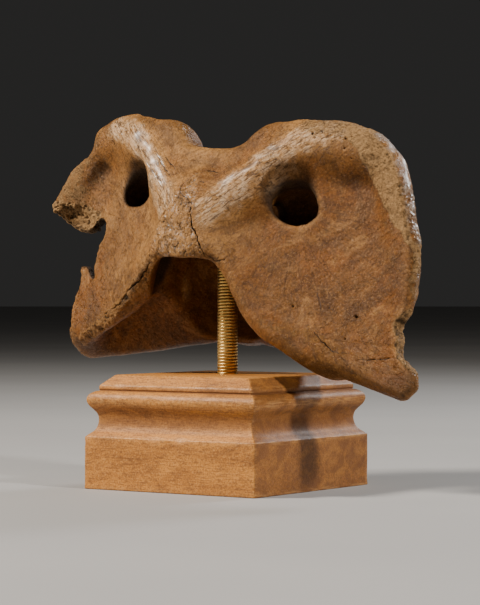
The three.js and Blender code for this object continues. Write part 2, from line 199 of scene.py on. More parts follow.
class Grain:
    """Seeded gradient noise and cell noise over points in space."""

    def __init__(self, seed: int) -> None:
        """Draws the tables that the noise is looked up in."""
        draw = np.random.default_rng(seed)
        self.order = draw.permutation(256)
        slopes = draw.normal(size=(256, 3))
        self.slopes = slopes / np.linalg.norm(slopes, axis=1, keepdims=True)
        self.shifts = draw.random((256, 3))

    def _index(self, cell: Array) -> Array:
        """Looks up a table row for each whole-numbered cell."""
        row = self.order[cell[:, 0] & 255]
        row = self.order[(row + cell[:, 1]) & 255]
        return self.order[(row + cell[:, 2]) & 255]

    def at(self, points: Array, wavelength: float) -> Array:
        """Gives smooth noise of one wavelength, about -1 to 1."""
        scaled = points / wavelength
        cell = np.floor(scaled).astype(np.int64)
        local = scaled - cell
        weight = local**3 * (local * (local * 6.0 - 15.0) + 10.0)
        total = np.zeros(len(points))
        for corner in np.ndindex(2, 2, 2):
            step = np.array(corner)
            slope = self.slopes[self._index(cell + step)]
            share = np.where(step == 1, weight, 1.0 - weight).prod(axis=1)
            total += share * ((local - step) * slope).sum(axis=1)
        return total * 1.7

    def layers(self, points: Array, wavelength: float, count: int) -> Array:
        """Adds up noise of halving wavelength and strength."""
        return sum(self.at(points, wavelength / 2**i) / 2**i for i in range(count))

    def cells(self, points: Array, spacing: float) -> Array:
        """Gives the distance to the nearest of scattered seeds, in spacings."""
        scaled = points / spacing
        cell = np.floor(scaled).astype(np.int64)
        nearest = np.full(len(points), 9.0)
        for offset in np.ndindex(3, 3, 3):
            place = cell + np.array(offset) - 1
            seed = place + self.shifts[self._index(place)]
            nearest = np.minimum(nearest, np.linalg.norm(scaled - seed, axis=1))
        return nearest


@dataclass(frozen=True)
class BonePose:
    """Where the bone's own frame lies in the row's frame."""

    place: Triple = (-5.0, 2.0, 140.0)
    lean: float = math.radians(13.0)
    roll: float = math.radians(4.5)

    def matrix(self) -> Array:
        """Gives the rotation from the bone's frame to the row's frame."""
        cos_lean, sin_lean = math.cos(self.lean), math.sin(self.lean)
        cos_roll, sin_roll = math.cos(self.roll), math.sin(self.roll)
        lean = np.array([[1, 0, 0], [0, cos_lean, sin_lean], [0, -sin_lean, cos_lean]])
        roll = np.array([[cos_roll, 0, sin_roll], [0, 1, 0], [-sin_roll, 0, cos_roll]])
        return roll @ lean

    def to_row(self, points: Array) -> Array:
        """Carries points from the bone's frame to the row's frame, still in millimetres."""
        return points @ self.matrix().T + np.array(self.place)


@dataclass(frozen=True)
class BoneForm:
    """The atlas as a distance-like field, negative inside, from the same named values as the CAD solid."""

    wing_outline: Path = (
        (-30, 24), (0, 24), (11, 24.5), (18, 27.5), (25, 33), (33, 38.5), (45, 40.5), (62, 42), (74, 40),
        (86, 34), (91.5, 29.8), (95.4, 25.9), (98.2, 21.3), (102, 13), (107.5, 1), (112, -8), (114.3, -13),
        (115.8, -18.5), (117, -24), (118.5, -38), (120, -50), (123, -66), (128, -73), (130, -81.5),
        (124.5, -89.2), (110, -85.5), (94, -79.5), (84, -77), (66, -72.5), (52, -67.5), (44, -64),
        (38, -59.5), (33, -53.7), (28, -48.2), (24, -42.6), (19, -37.6), (10, -34.5), (0, -34), (-30, -34),
    )
    left_wing_shorter: float = 7.5
    left_border_shorter: float = 8.5
    left_corner_shorter: float = 16.0
    left_lobe_drop: float = 2.5
    left_ridge_drop: float = 2.5
    right_lip_lift: float = 4.0
    ridge_sink: float = 6.0
    right_arch_rise: float = 5.0
    left_wing_thinner: float = 1.0
    left_loss: Path = (
        (-140, 4), (-109, -5), (-102.3, -10.5), (-98.6, -13.8), (-92.6, -17.8), (-85.9, -20.1),
        (-80.6, -20.8), (-73.9, -19.3), (-73, -16.1), (-71.5, -14.5), (-69.3, -14.3), (-66.5, -16.5),
        (-65, -20), (-65.8, -23.5), (-67.4, -27), (-67.6, -34), (-67.6, -39.3), (-65.5, -46), (-69, -42.5),
        (-72.1, -38.8), (-78.5, -38.8), (-76.5, -46.2), (-76.2, -50.9), (-77.6, -52.6), (-76.4, -57),
        (-74.4, -64), (-73, -71), (-74, -78), (-74, -100), (-140, -110),
    )
    right_loss: Path = (
        (155, -36), (122.5, -38), (117.5, -47), (112, -52), (112.5, -55.5), (115, -58.5), (115, -63),
        (117.5, -68), (124, -72), (128.5, -74.5), (130.5, -78.5), (155, -79.5),
    )
    cranial_bar: Stations = (
        (0, -19, -12, 9), (14, -18, -4, 9), (32, -13, 14, 9.5), (46, -6, 26, 10.5), (62, 0, 30.5, 9.5),
        (76, 1, 28.5, 8),
    )
    wing_border: Stations = (
        (76, 1, 28.5, 7.5), (89, 3, 22, 6), (97, 3, 7, 5.5), (105, 4, -14, 4.5), (110, 4, -36, 3.5),
    )
    caudal_ridge: Stations = (
        (0, -19, -27.5, 6.5), (13, -17.5, -29.5, 6.5), (24, -12, -41.5, 5.5), (35, -8, -54, 5),
        (47, -6, -62.5, 5), (66, -4, -70, 4.5), (92, 0, -76, 4.5), (116, 4, -82, 4),
    )
    lateral_mass: Stations = ((46, 12, 12, 19), (44, 17, -10, 19), (42, 20, -42, 18))
    cup_rim: Stations = (
        (30, -5, 28, 9), (46, -3, 30, 10), (62, 8, 29, 10), (60, 27, 24, 11), (40, 41, 20, 10.5),
        (16, 42, 18, 10), (0, 41, 14, 9),
    )
    caudal_lip: Stations = (
        (0, 38, -50, 9), (25, 36, -58, 9), (45, 31, -63, 10), (62, 22, -69.5, 9.5), (76, 14, -75, 8.5),
    )
    caudal_shoulder: Stations = ((46, 8, -52, 13), (70, 6, -66, 9))
    dorsal_tubercle: Ball = Ball((0, -20, -15), (13, 11, 24))
    ventral_tubercle: Ball = Ball((0, 50, -42), (12, 11, 18))
    cranial_cup: Ball = Ball((36, 16, 50), (27, 27, 34))
    caudal_trough: Ball = Ball((18, 9, -86), (44, 22, 39))
    caudal_flare: Ball = Ball((0, 8, -44), (28, 36, 34))
    fossae: tuple[Ball, ...] = (
        Ball((45.7, 4, -2.5), (15, 15, 11.5)),
        Ball((-43.7, 4, -0.5), (12, 15, 10.5)),
    )
    fossa_approaches: tuple[Ball, ...] = (
        Ball((46, -14, 6.5), (10, 9, 8.5)),
        Ball((-44.5, -14, 6), (9, 9, 7.5)),
    )
    snapped_hollow: Ball = Ball((-87, -4, -16), (12, 8, 8))
    inner_foramen: Stations = ((42, 3, -4, 5), (18, 6, -6, 5))
    alar_foramen: Stations = ((49, 0, -2, 5.5), (56, 36, -24, 5.5))
    canal_half_width: float = 24.0
    canal_half_depth: float = 20.0
    canal_middle: float = 8.0
    plate_middle: float = 39.0
    plate_half_thickness: float = 11.0
    plate_half_length: float = 39.0
    plate_half_width: float = 46.0
    sheet_half_thickness: float = 3.8
    arch_thickening: float = 3.2

    def arch_rise(self, x: Array, z: Array) -> Array:
        """Gives how much higher the arch's caudal border lies on the right of the middle."""
        caudal = np.clip((-15 - z) / 10, 0, 1)
        return np.where(x > 0, self.right_arch_rise, 0.0) * bell(x - 20, 9) * caudal

    def sheet(self, x: Array, y: Array, z: Array) -> Array:
        """Gives the two wings and the dorsal arch: a bent sheet with a thicker free border."""
        across = np.abs(x)
        corner = self.left_corner_shorter * bell(z - 29, 10)
        shorter = np.where(x < 0, self.left_wing_shorter + corner, 0.0) * np.clip((across - 45) / 40, 0, 1)
        border = outline_distance(across + shorter, z - self.arch_rise(x, z), self.wing_outline)
        rise = 1 - (1 - np.clip((across - 14) / 94, 0, 1)) ** 2.2
        above = (z + 30 + np.hypot(z + 30, 16)) / 2
        rim = bell(np.clip(-border, 0, 60), 11)
        flare = 3.5 * rim * np.clip((across - 60) / 40, 0, 1)
        middle = -21 + 24.5 * rise + 0.2 * above * (1 - 0.55 * rise) - flare
        thickness = self.sheet_half_thickness + rim * (1.2 + 1.6 * bell(z - 15, 45))
        thickness = thickness + self.arch_thickening * bell(across - 8, 30)
        thinner = np.clip((-x - 55) / 15, 0, 1) * np.clip((-30 - z) / 12, 0, 1)
        thickness = thickness - self.left_wing_thinner * thinner
        return common((np.abs(y - middle) - thickness) * 0.9, border + 1, 7)

    def body(self, solid: Array, x: Array, y: Array, z: Array) -> Array:
        """Adds everything ventral to the sheet."""
        across = np.abs(x)
        lift = np.where(x > 0, self.right_lip_lift, 0.0) * np.clip(across / 30, 0, 1)
        flat = common(
            np.abs(y - self.plate_middle + 0.002 * x * x) - self.plate_half_thickness,
            np.abs(z + 19) - self.plate_half_length,
            14,
        )
        solid = join(solid, bar(across, y, z, self.lateral_mass), 14)
        solid = join(solid, bar(across, y, z, self.cup_rim), 12)
        solid = join(solid, common(flat, across - self.plate_half_width, 14), 12)
        solid = join(solid, bar(across, y, z - lift, self.caudal_lip), 10)
        solid = join(solid, bar(across, y, z, self.caudal_shoulder), 10)
        return join(solid, self.ventral_tubercle.distance(x, y, z), 14)

    def openings(self, solid: Array, x: Array, y: Array, z: Array) -> Array:
        """Takes out the canal, the articular hollows, the fossae and the foramina."""
        across = np.abs(x)
        drop = np.maximum(0.28 * (z + 30), 0)
        half_depth = self.canal_half_depth - 0.4 * drop
        canal = np.hypot(x / self.canal_half_width, (y - self.canal_middle - 0.5 * drop) / half_depth)
        solid = cut(solid, (canal - 1) * 19, 5)
        solid = cut(solid, self.cranial_cup.distance(across, y, z), 4)
        solid = cut(solid, self.caudal_trough.distance(across, y, z), 4)
        solid = cut(solid, self.caudal_flare.distance(x, y, z), 2)
        for fossa in self.fossae:
            solid = cut(solid, fossa.distance(x, y, z), 3)
        for approach in self.fossa_approaches:
            solid = cut(solid, approach.distance(x, y, z), 9)
        solid = cut(solid, self.snapped_hollow.distance(x, y, z), 1.5)
        solid = cut(solid, bar(across, y, z, self.inner_foramen), 3)
        return cut(solid, bar(across, y, z, self.alar_foramen), 5)

    def distance(self, x: Array, y: Array, z: Array) -> Array:
        """Gives the whole bone's field.

        Args:
            x: To the viewer's right; y and z have shapes that broadcast with it.
            y: Ventral.
            z: Cranial.

        Returns:
            The distance-like value at each place, negative inside.
        """
        left = x < 0
        across = np.abs(x)
        z = z + np.where(left, self.left_lobe_drop, 0.0) * bell(across - 55, 30) * np.clip(z / 35, 0, 1)
        ridge_y = y - self.ridge_sink * np.clip((across - 50) / 22, 0, 1)
        ridge_drop = np.where(left, self.left_ridge_drop, 0.0) * np.clip(across / 30, 0, 1)
        ridge_z = z + ridge_drop - self.arch_rise(x, z)
        corner = self.left_corner_shorter * bell(z - 29, 10)
        shorter = np.where(left, self.left_border_shorter + corner, 0.0)
        border_x = across + shorter * np.clip((across - 55) / 30, 0, 1)
        solid = self.sheet(x, y, z)
        solid = join(solid, bar(across, y, z, self.cranial_bar), 12)
        solid = join(solid, bar(border_x, y, z, self.wing_border), 9)
        solid = join(solid, bar(across, ridge_y, ridge_z, self.caudal_ridge), 8)
        solid = join(solid, self.dorsal_tubercle.distance(x, y, z), 8)
        solid = self.body(solid, x, y, z)
        solid = self.openings(solid, x, y, z)
        solid = cut(solid, outline_distance(x, z, self.left_loss), 1.5)
        return cut(solid, outline_distance(x, z, self.right_loss), 1.5)


class Lattice:
    """A field sampled on a box of evenly spaced points."""

    def __init__(self, form: BoneForm, low: Triple, high: Triple, step: float) -> None:
        """Samples the form's field.

        Args:
            form: The shape to sample.
            low: Lowest corner of the box.
            high: Highest corner of the box.
            step: Spacing of the points.
        """
        self.low = np.array(low, float)
        self.step = step
        axes = [np.arange(a, b + step, step) for a, b in zip(low, high)]
        x, y, z = np.meshgrid(*axes, indexing="ij", sparse=True)
        self.values = np.ascontiguousarray(form.distance(x, y, z))

    def at(self, points: Array) -> Array:
        """Gives the field between the lattice points, with the way out of the box added outside it."""
        top = np.array(self.values.shape) - 1.001
        place = (points - self.low) / self.step
        held = np.clip(place, 0.0, top)
        cell = held.astype(np.int64)
        local = held - cell
        total = np.zeros(len(points))
        for corner in np.ndindex(2, 2, 2):
            step = np.array(corner)
            share = np.where(step == 1, local, 1.0 - local).prod(axis=1)
            i, j, k = (cell + step).T
            total += share * self.values[i, j, k]
        return total + np.linalg.norm(place - held, axis=1) * self.step

    def slope(self, points: Array, reach: float) -> Array:
        """Gives the unit direction in which the field rises, felt over the given reach."""
        parts = []
        for axis in np.eye(3):
            parts.append(self.at(points + axis * reach) - self.at(points - axis * reach))
        rise = np.stack(parts, axis=1)
        return rise / np.maximum(np.linalg.norm(rise, axis=1, keepdims=True), 1e-9)

    def surface(self) -> tuple[Array, Array]:
        """Finds the zero surface, with one vertex in each cell that it crosses.

        Returns:
            The vertices and the four-sided faces, which look out of the solid.
        """
        values = self.values
        inside = values < 0
        cells = tuple(n - 1 for n in values.shape)
        total = np.zeros(cells + (3,))
        count = np.zeros(cells)
        for corner in np.ndindex(2, 2, 2):
            for axis in range(3):
                if corner[axis]:
                    continue
                ahead = tuple(c + (m == axis) for m, c in enumerate(corner))
                here = values[tuple(slice(c, c + n) for c, n in zip(corner, cells))]
                there = values[tuple(slice(c, c + n) for c, n in zip(ahead, cells))]
                crossed = (here < 0) != (there < 0)
                share = here / np.where(crossed, here - there, 1.0)
                for m in range(3):
                    total[..., m] += crossed * (share if m == axis else corner[m])
                count += crossed
        live = count > 0
        index = np.full(cells, -1)
        index[live] = np.arange(int(live.sum()))
        points = np.argwhere(live) + total[live] / count[live][:, None]
        faces = []
        for axis in range(3):
            u, v = (axis + 1) % 3, (axis + 2) % 3
            change = np.argwhere(np.diff(inside, axis=axis))
            kept = (change[:, [u, v]] > 0).all(axis=1)
            kept &= (change[:, u] < cells[u]) & (change[:, v] < cells[v])
            change = change[kept]
            corners = []
            for du, dv in ((1, 1), (0, 1), (0, 0), (1, 0)):
                cell = change.copy()
                cell[:, u] -= du
                cell[:, v] -= dv
                corners.append(index[tuple(cell.T)])
            quads = np.stack(corners, axis=1)
            outward = inside[tuple(change.T)]
            quads[~outward] = quads[~outward][:, ::-1]
            faces.append(quads)
        return points * self.step + self.low, np.concatenate(faces)


class Net:
    """The edges between a mesh's vertices, for evening values out along the surface."""

    def __init__(self, pairs: Array, count: int) -> None:
        """Keeps the edges as pairs of vertex numbers."""
        self.pairs = pairs
        self.count = count
        self.ends = np.maximum(np.bincount(pairs.ravel(), minlength=count), 1)

    def mean(self, values: Array) -> Array:
        """Gives the mean of the neighbours' values at each vertex, part by part."""
        columns = values.reshape(self.count, -1)
        total = np.zeros_like(columns)
        for here, there in ((0, 1), (1, 0)):
            for part in range(columns.shape[1]):
                other = columns[self.pairs[:, there], part]
                total[:, part] += np.bincount(self.pairs[:, here], other, self.count)
        return (total / self.ends[:, None]).reshape(values.shape)

    def evened(self, values: Array, turns: int) -> Array:
        """Spreads a value out over its surroundings."""
        for _ in range(turns):
            values = 0.5 * (values + self.mean(values))
        return values

    def bulge(self, points: Array, normal: Array) -> Array:
        """Gives half the surface's mean curvature in 1/mm, positive where it bulges out."""
        lengths = ((points[self.pairs[:, 0]] - points[self.pairs[:, 1]]) ** 2).sum(axis=1)
        total = sum(np.bincount(self.pairs[:, end], lengths, self.count) for end in (0, 1))
        return ((points - self.mean(points)) * normal).sum(axis=1) / np.maximum(total / self.ends, 1e-6)


@dataclass(frozen=True)
class BoneSurface:
    """The bone's surface: how finely it is laid out, and the marks that the dorsal face carries."""

    pose: BonePose = BonePose()
    form: BoneForm = BoneForm()
    low: Triple = (-124.0, -48.0, -98.0)
    high: Triple = (134.0, 74.0, 56.0)
    step: float = 1.6
    cracks: tuple[Crack, ...] = (
        Crack(
            ((5.6, -9), (5.9, -14.8), (7.5, -19.4), (11.1, -25.5), (13.2, -30.2), (15.6, -34.5)),
            0.6,
            1.4,
        ),
        Crack(((14.5, -31.4), (18, -33.4), (21, -34.2), (24.6, -32.8), (26.3, -30.2)), 0.4, 0.5),
        Crack(((5.6, -9), (-3, -4), (-4.5, -1), (-0.9, 5.5), (1.5, 7)), 0.6, 0.7),
        Crack(((2, 8.7), (5.8, 10), (11.6, 9.1)), 0.7, 0.9),
        Crack(((4.6, 3.2), (8.3, 2.2)), 0.6, 0.6),
        Crack(
            ((-7.6, -8), (-9.5, -12.5), (-11.5, -15), (-13.8, -19), (-15.3, -26.7), (-16.5, -33.7)),
            0.55,
            0.8,
        ),
        Crack(
            (
                (-16.5, -33.7), (-19.2, -39.2), (-23.6, -44.2), (-26.5, -47.5), (-32.4, -51.6), (-35, -55),
                (-37.5, -58.5), (-44.4, -62.8), (-51, -66.8),
            ),
            0.65,
            1.3,
        ),
        Crack(((67.3, -40), (69.3, -45.5), (71.4, -50.6)), 0.35, 0.3),
        Crack(((69, -59.7), (78, -65.6), (82.2, -69.1), (91, -68.8)), 0.5, 0.8),
        Crack(((95.2, -71.8), (100.1, -70.2), (105.8, -69.4), (114.5, -68.8)), 0.5, 0.8),
        Crack(((-31, 19), (-21.6, 10.3), (-12.9, 4)), 0.5, 0.5),
        Crack(((-34, 13), (-26, 6.5), (-18, 0.5)), 0.5, 0.5),
        Crack(((-25, 17.5), (-19, 12.3), (-13.5, 8.5)), 0.5, 0.4),
    )
    pits: tuple[Pit, ...] = (
        Pit(54.5, 33.1, 1.0, 1.7),
        Pit(58.2, 34.8, 0.7, 1.0),
        Pit(56.3, 31.0, 0.6, 0.8),
        Pit(69.9, 32.8, 1.1, 1.9),
        Pit(72.8, 33.9, 0.7, 1.3),
        Pit(67.0, 33.6, 0.6, 1.0),
        Pit(70.7, 27.8, 0.6, 1.4),
        Pit(75.3, 23.1, 0.6, 1.4),
        Pit(58.0, -50.3, 0.6, 1.4),
        Pit(74.9, -48.2, 0.5, 0.8),
        Pit(89.4, -50.9, 1.0, 2.2),
        Pit(86.3, -62.0, 0.7, 1.5),
        Pit(-35.7, 34.0, 0.6, 1.0),
        Pit(-52.0, 28.0, 0.6, 1.0),
        Pit(-56.5, 30.0, 0.5, 1.0),
        Pit(-58.5, 27.6, 0.5, 0.8),
    )
    rough_plate: Path = (
        (-14.8, -20), (-10, -12.5), (-6.9, -8.5), (-3, -1), (1.2, 7.5), (4.5, 3), (5.6, -3), (6.4, -10.7),
        (8.4, -20), (12.5, -28), (13.5, -33), (0, -35), (-12, -34.5), (-15.4, -28),
    )
    worn_border: Path = (
        (62, 39), (70, 46), (92, 40), (112, 14), (124, -10), (124, -30), (116.5, -27), (113, -18),
        (106, -9), (97.5, -1.6), (90, 8), (85.5, 14), (83, 20), (78, 26.5), (70, 33.5),
    )
    polished_edge: Path = ((84, 38), (95, 29), (103.5, 14), (109, 1), (114, -11))
    lobe_top: Path = ((48, 44), (46, 37), (54, 31), (62, 33), (74, 31), (80, 34), (76, 46), (58, 48))
    snapped_face: Path = (
        (-112, -3), (-98.2, -6.6), (-89.5, -6.6), (-79, -7.4), (-73.5, -10.5), (-70, -14), (-76, -26),
        (-112, -26),
    )
    frayed_border: Path = ((102, 13), (107.5, 1), (112, -8), (115.8, -18.5), (118.5, -38))
    left_band: Path = (
        (-14.5, -36.3), (-20.3, -42.2), (-27.9, -50.2), (-36.3, -57.5), (-45, -65.3), (-54.2, -72),
        (-64, -77),
    )
    right_band: Path = ((46.5, -59.3), (56, -61.5), (65, -63), (75, -65), (86, -69))
    right_strand: Path = ((4, -18), (10.5, -14.1), (22, 0.1), (34.8, 14.2), (50, 29.6), (62, 36))
    left_strand: Path = ((-4, -18), (-10.5, -12.9), (-29.9, 10.5), (-42.1, 21.4), (-54.4, 29.7), (-64, 33))

    def refined(self, lattice: Lattice) -> tuple[Array, Array, Net]:
        """Lays the surface out, splits its faces where there is fine relief and settles it on the field.

        Args:
            lattice: The sampled field.

        Returns:
            The vertices, the triangles and the net of edges.
        """
        points, quads = lattice.surface()
        mesh = bpy.data.meshes.new("bone_layout")
        mesh.from_pydata(points, [], quads.tolist())
        shape = bmesh.new()
        shape.from_mesh(mesh)
        for finest in (False, True):
            shape.verts.ensure_lookup_table()
            places = np.array([v.co for v in shape.verts])
            fine = self.needs_detail(places, finest)
            edges = [e for e in shape.edges if fine[e.verts[0].index] and fine[e.verts[1].index]]
            bmesh.ops.subdivide_edges(shape, edges=edges, cuts=1, use_grid_fill=True)
            shape.verts.index_update()
        bmesh.ops.triangulate(shape, faces=shape.faces[:])
        shape.to_mesh(mesh)
        shape.free()
        places = np.empty(len(mesh.vertices) * 3)
        mesh.vertices.foreach_get("co", places)
        corners = np.empty(len(mesh.polygons) * 3, np.int64)
        mesh.polygons.foreach_get("vertices", corners)
        pairs = np.empty(len(mesh.edges) * 2, np.int64)
        mesh.edges.foreach_get("vertices", pairs)
        bpy.data.meshes.remove(mesh)
        net = Net(pairs.reshape(-1, 2), len(places) // 3)
        return self.settled(lattice, places.reshape(-1, 3), net), corners.reshape(-1, 3), net

    @staticmethod
    def settled(lattice: Lattice, points: Array, net: Net) -> Array:
        """Evens the vertices out along the surface and brings them onto it."""
        for _ in range(3):
            normal = lattice.slope(points, 0.8)
            shift = 0.5 * (net.mean(points) - points)
            shift -= normal * (shift * normal).sum(axis=1, keepdims=True)
            points = points + shift
            points = points - normal * lattice.at(points)[:, None]
        return points

    def needs_detail(self, points: Array, finest: bool) -> Array:
        """Tells which points lie near relief that is finer than the lattice.

        Args:
            points: Places in the bone's frame.
            finest: Whether only the very finest relief counts.

        Returns:
            True for each point that needs smaller faces.
        """
        x, y, z = points.T
        near = np.zeros(len(points), bool)
        dorsal = y < 9
        reach = 0.9 if finest else 2.0
        for crack in self.cracks:
            near |= dorsal & (np.abs(path_distance(x, z, crack.path)[0]) < 0.6 + reach)
        for pit in self.pits:
            near |= dorsal & (np.hypot(x - pit.x, z - pit.z) < pit.radius + 0.8 * reach)
        near |= dorsal & (outline_distance(x, z, self.rough_plate) < 0.5)
        near |= (y < 14) & (outline_distance(x, z, self.snapped_face) < 0.5)
        near |= (y < 4) & (np.abs(path_distance(x, z, self.left_band)[0]) < 4.5)
        if finest:
            return near
        for zone in (self.worn_border, self.lobe_top):
            near |= dorsal & (outline_distance(x, z, zone) < 1.0)
        near |= (y < 4) & (np.abs(path_distance(x, z, self.right_band)[0]) < 6.0)
        for loss in (self.form.left_loss, self.form.right_loss):
            near |= np.abs(outline_distance(x, z, loss)) < 2.0
        return near

    def opened(self, points: Array) -> tuple[Array, Array]:
        """Works out the cracks and vascular holes.

        Args:
            points: The vertices in the bone's frame.

        Returns:
            How far each vertex is in a crack or hole, from 0 to 1, and how deep it lies for that.
        """
        grain = Grain(17)
        wander = np.stack([grain.layers(points + 90.0 * i, 3.0, 3) for i in (1, 2)], axis=1) * 0.55
        x, z = points[:, 0] + wander[:, 0], points[:, 2] + wander[:, 1]
        shown = np.zeros(len(points))
        depth = np.zeros(len(points))
        for crack in self.cracks:
            away, along = path_distance(x, z, crack.path)
            taper = 0.4 + 0.6 * np.sin(np.clip(along, 0.02, 0.98) * np.pi)
            part = ease(np.abs(away), crack.width * 0.8 * taper, crack.width * 0.15 * taper)
            shown = np.maximum(shown, part)
            depth = np.maximum(depth, part * crack.depth * taper)
        for pit in self.pits:
            away = np.hypot(x - pit.x, z - pit.z)
            part = ease(away, pit.radius, pit.radius * 0.3)
            shown = np.maximum(shown, part * 0.9)
            depth = np.maximum(depth, part * pit.depth)
        return shown, depth

    def marks(self, lattice: Lattice, points: Array, normal: Array, net: Net) -> dict[str, Array]:
        """Works out how strongly each kind of surface shows at each vertex, and where the finish paints
        light and shade.

        Args:
            lattice: The sampled field, felt for hollows.
            points: The vertices in the bone's frame.
            normal: The outward directions there.
            net: The mesh's edges.

        Returns:
            A value from 0 to 1 for each vertex, by the name of the mark.
        """
        grain = Grain(11)
        wander = np.stack([grain.layers(points + 40.0 * i, 6.0, 4) for i in (1, 2)], axis=1)
        x = points[:, 0] + 1.6 * wander[:, 0]
        z = points[:, 2] + 1.6 * wander[:, 1]
        dorsal = ease(-normal[:, 1], -0.1, 0.3)
        front = dorsal * ease(points[:, 1], 10.0, 6.0)
        found: dict[str, Array] = {}
        shown, depth = self.opened(points)
        found["crack"] = shown * front
        found["crack_depth"] = depth * front
        found["plate"] = ease(outline_distance(x, z, self.rough_plate), 0.8, -1.0) * front
        found.update(self.worn_marks(points, x, z, front))
        strands = []
        for path in (self.right_strand, self.left_strand):
            away, along = path_distance(x, z, path)
            strands.append(ease(np.abs(away), 12.0, 3.0) * ease(along, 0.0, 0.12) * front)
        found["strand"] = np.maximum.reduce(strands) * (1 - found["plate"]) * (1 - found["torn"])
        # Painted light: paler golden on the crown and the left lobe, which face the light, and over the
        # middle.
        middle = bell(points[:, 0] + 12.0, 34.0) * ease(points[:, 2], -62.0, -40.0)
        crown = ease(points[:, 2], 12.0, 34.0)
        lobe = bell(points[:, 0] + 82.0, 30.0) * ease(points[:, 2], -30.0, -8.0)
        found["pale"] = np.maximum.reduce([middle, 0.8 * crown, 0.9 * lobe]) * front
        # How shut in each vertex is by the form around it. The finish uses this for painted shade,
        # darkening the canal, the foramina and other hollows.
        shut = np.zeros(len(points))
        for reach, weight in ((2.5, 0.2), (6.0, 0.25), (12.0, 0.3), (22.0, 0.25)):
            shut += weight * np.clip(1 - lattice.at(points + normal * reach) / reach, 0, 1)
        found["hollow"] = net.evened(np.clip(shut * 1.25, 0, 1), 3)
        bulge = net.evened(net.bulge(points, normal), 6)
        found["edge"] = ease(bulge, 0.012, 0.085)
        # The finish paints shade with dip: concave places get darker umber. The spur's tip is darkened too.
        spur = ease(points[:, 0], 92.0, 116.0) * ease(points[:, 2], -66.0, -78.0) * front
        found["dip"] = np.maximum(0.5 * ease(-bulge, 0.008, 0.07), spur)
        return found

    def worn_marks(self, points: Array, x: Array, z: Array, front: Array) -> dict[str, Array]:
        """Works out where the bone is rubbed, worn, knobbly or torn.

        Args:
            points: The vertices in the bone's frame.
            x: Their first coordinate, made to wander.
            z: Their third coordinate, made to wander.
            front: How far each vertex belongs to the dorsal face.

        Returns:
            A value from 0 to 1 for each vertex, by the name of the mark.
        """
        found: dict[str, Array] = {}
        thin_part = ease(points[:, 1], 12.0, 8.0)
        worn = ease(outline_distance(x, z, self.worn_border), 1.0, -1.0) * thin_part
        top = ease(outline_distance(x, z, self.lobe_top), 0.8, -2.0) * front
        snapped = ease(outline_distance(x, z, self.snapped_face), 0.6, -1.0) * thin_part
        # A smoother strip along the right outer edge; the finish also paints highlight glints on it.
        polish = np.abs(path_distance(points[:, 0], points[:, 2], self.polished_edge)[0])
        found["polish"] = ease(polish, 3.0, 1.0) * thin_part
        chipped = bell(points[:, 0] + 92.0, 17.0) * ease(z, -26.0, -10.0) * front
        found["worn"] = np.maximum.reduce([worn * (1 - 0.8 * found["polish"]), 0.6 * top, 0.6 * chipped])
        left_band = ease(np.abs(path_distance(x, z, self.left_band)[0]), 3.6, 1.8)
        right_band = ease(np.abs(path_distance(x, z, self.right_band)[0]), 6.0, 1.5)
        found["band"] = np.maximum(left_band, 0.45 * right_band) * front
        torn = [
            ease(np.abs(outline_distance(points[:, 0], points[:, 2], loss)), 1.8, 0.6)
            for loss in (self.form.left_loss, self.form.right_loss)
        ]
        frayed = ease(np.abs(path_distance(x, z, self.frayed_border)[0]), 3.5, 1.0)
        found["torn"] = np.maximum.reduce([snapped, 0.5 * torn[0], 0.9 * torn[1], 0.55 * frayed])
        return found

    def relief(self, points: Array, marks: Mapping[str, Array]) -> tuple[Array, Array]:
        """Works out the relief on the smooth form.

        Args:
            points: The vertices in the bone's frame.
            marks: The kinds of surface there.

        Returns:
            How far each vertex stands out, and how deep it lies in a small cavity, from 0 to 1.
        """
        grain, coarse, fine = Grain(23), Grain(31), Grain(47)
        broad = grain.layers(points, 24.0, 3)
        lumps = coarse.layers(points, 7.0, 3)
        knobs = fine.layers(points, 3.2, 3)
        seeds = fine.cells(points + 0.7 * knobs[:, None], 1.9)
        holes = np.clip(1.0 - seeds / 0.55, 0.0, 1.0)
        flakes = 2.6 * coarse.layers(points * np.array([1.3, 0.6, 0.9]) + 50.0, 6.5, 2)
        terrace = np.floor(flakes) + ease(flakes - np.floor(flakes), 0.65, 1.0)
        ridges = np.abs(grain.layers(points * np.array([1.4, 0.5, 0.8]) + 70.0, 6.0, 3))
        seams = 1.0 - ease(ridges, 0.0, 0.14)
        rough = marks["plate"] * (0.22 * terrace + 0.22 * knobs - 0.4 * seams)
        rough = rough + marks["worn"] * (0.35 * knobs + 0.2 * lumps - 0.6 * holes)
        rough = rough + marks["band"] * (0.5 * knobs + 0.6 * lumps - 0.5 * holes)
        rough = rough + marks["torn"] * (0.6 * knobs + 0.3 * lumps - 1.0 * holes)
        height = 0.42 * broad + 0.17 * lumps + rough
        height = height + 0.2 * marks["plate"] + 0.9 * marks["band"] - 0.35 * marks["worn"]
        # The finish paints shade deep in these cavities.
        cavity = ease(-rough, 0.15, 0.85)
        return height - marks["crack_depth"], cavity

    def fibre(self, points: Array) -> Array:
        """Gives coordinates along and across the bone's fibres, for its streaks and grooves."""
        x, y, z = points.T
        across = np.abs(x)
        spur = (ease(x, 70.0, 80.0) * ease(z, -60.0, -66.0)) > 0.5
        along = 0.69 * across + 0.72 * z
        aside = -0.72 * across + 0.69 * z + 0.0012 * along * np.abs(along)
        first = np.where(spur, 0.96 * x - 0.28 * z, along)
        second = np.where(spur, 0.28 * x + 0.96 * z, aside)
        return np.stack([first, second, y + 0.15 * x], axis=1)

    def rays(self, points: Array) -> Array:
        """Gives coordinates around and away from the nearer fossa, for the lines that radiate from it."""
        x, y, z = points.T
        place = self.form.fossae[0].centre
        out = np.abs(x) - place[0]
        up = z - place[2]
        away = np.hypot(out, up)
        around = np.arctan2(up, out)
        return np.stack([around * 34.0, away, y + 40.0 * (x < 0)], axis=1)

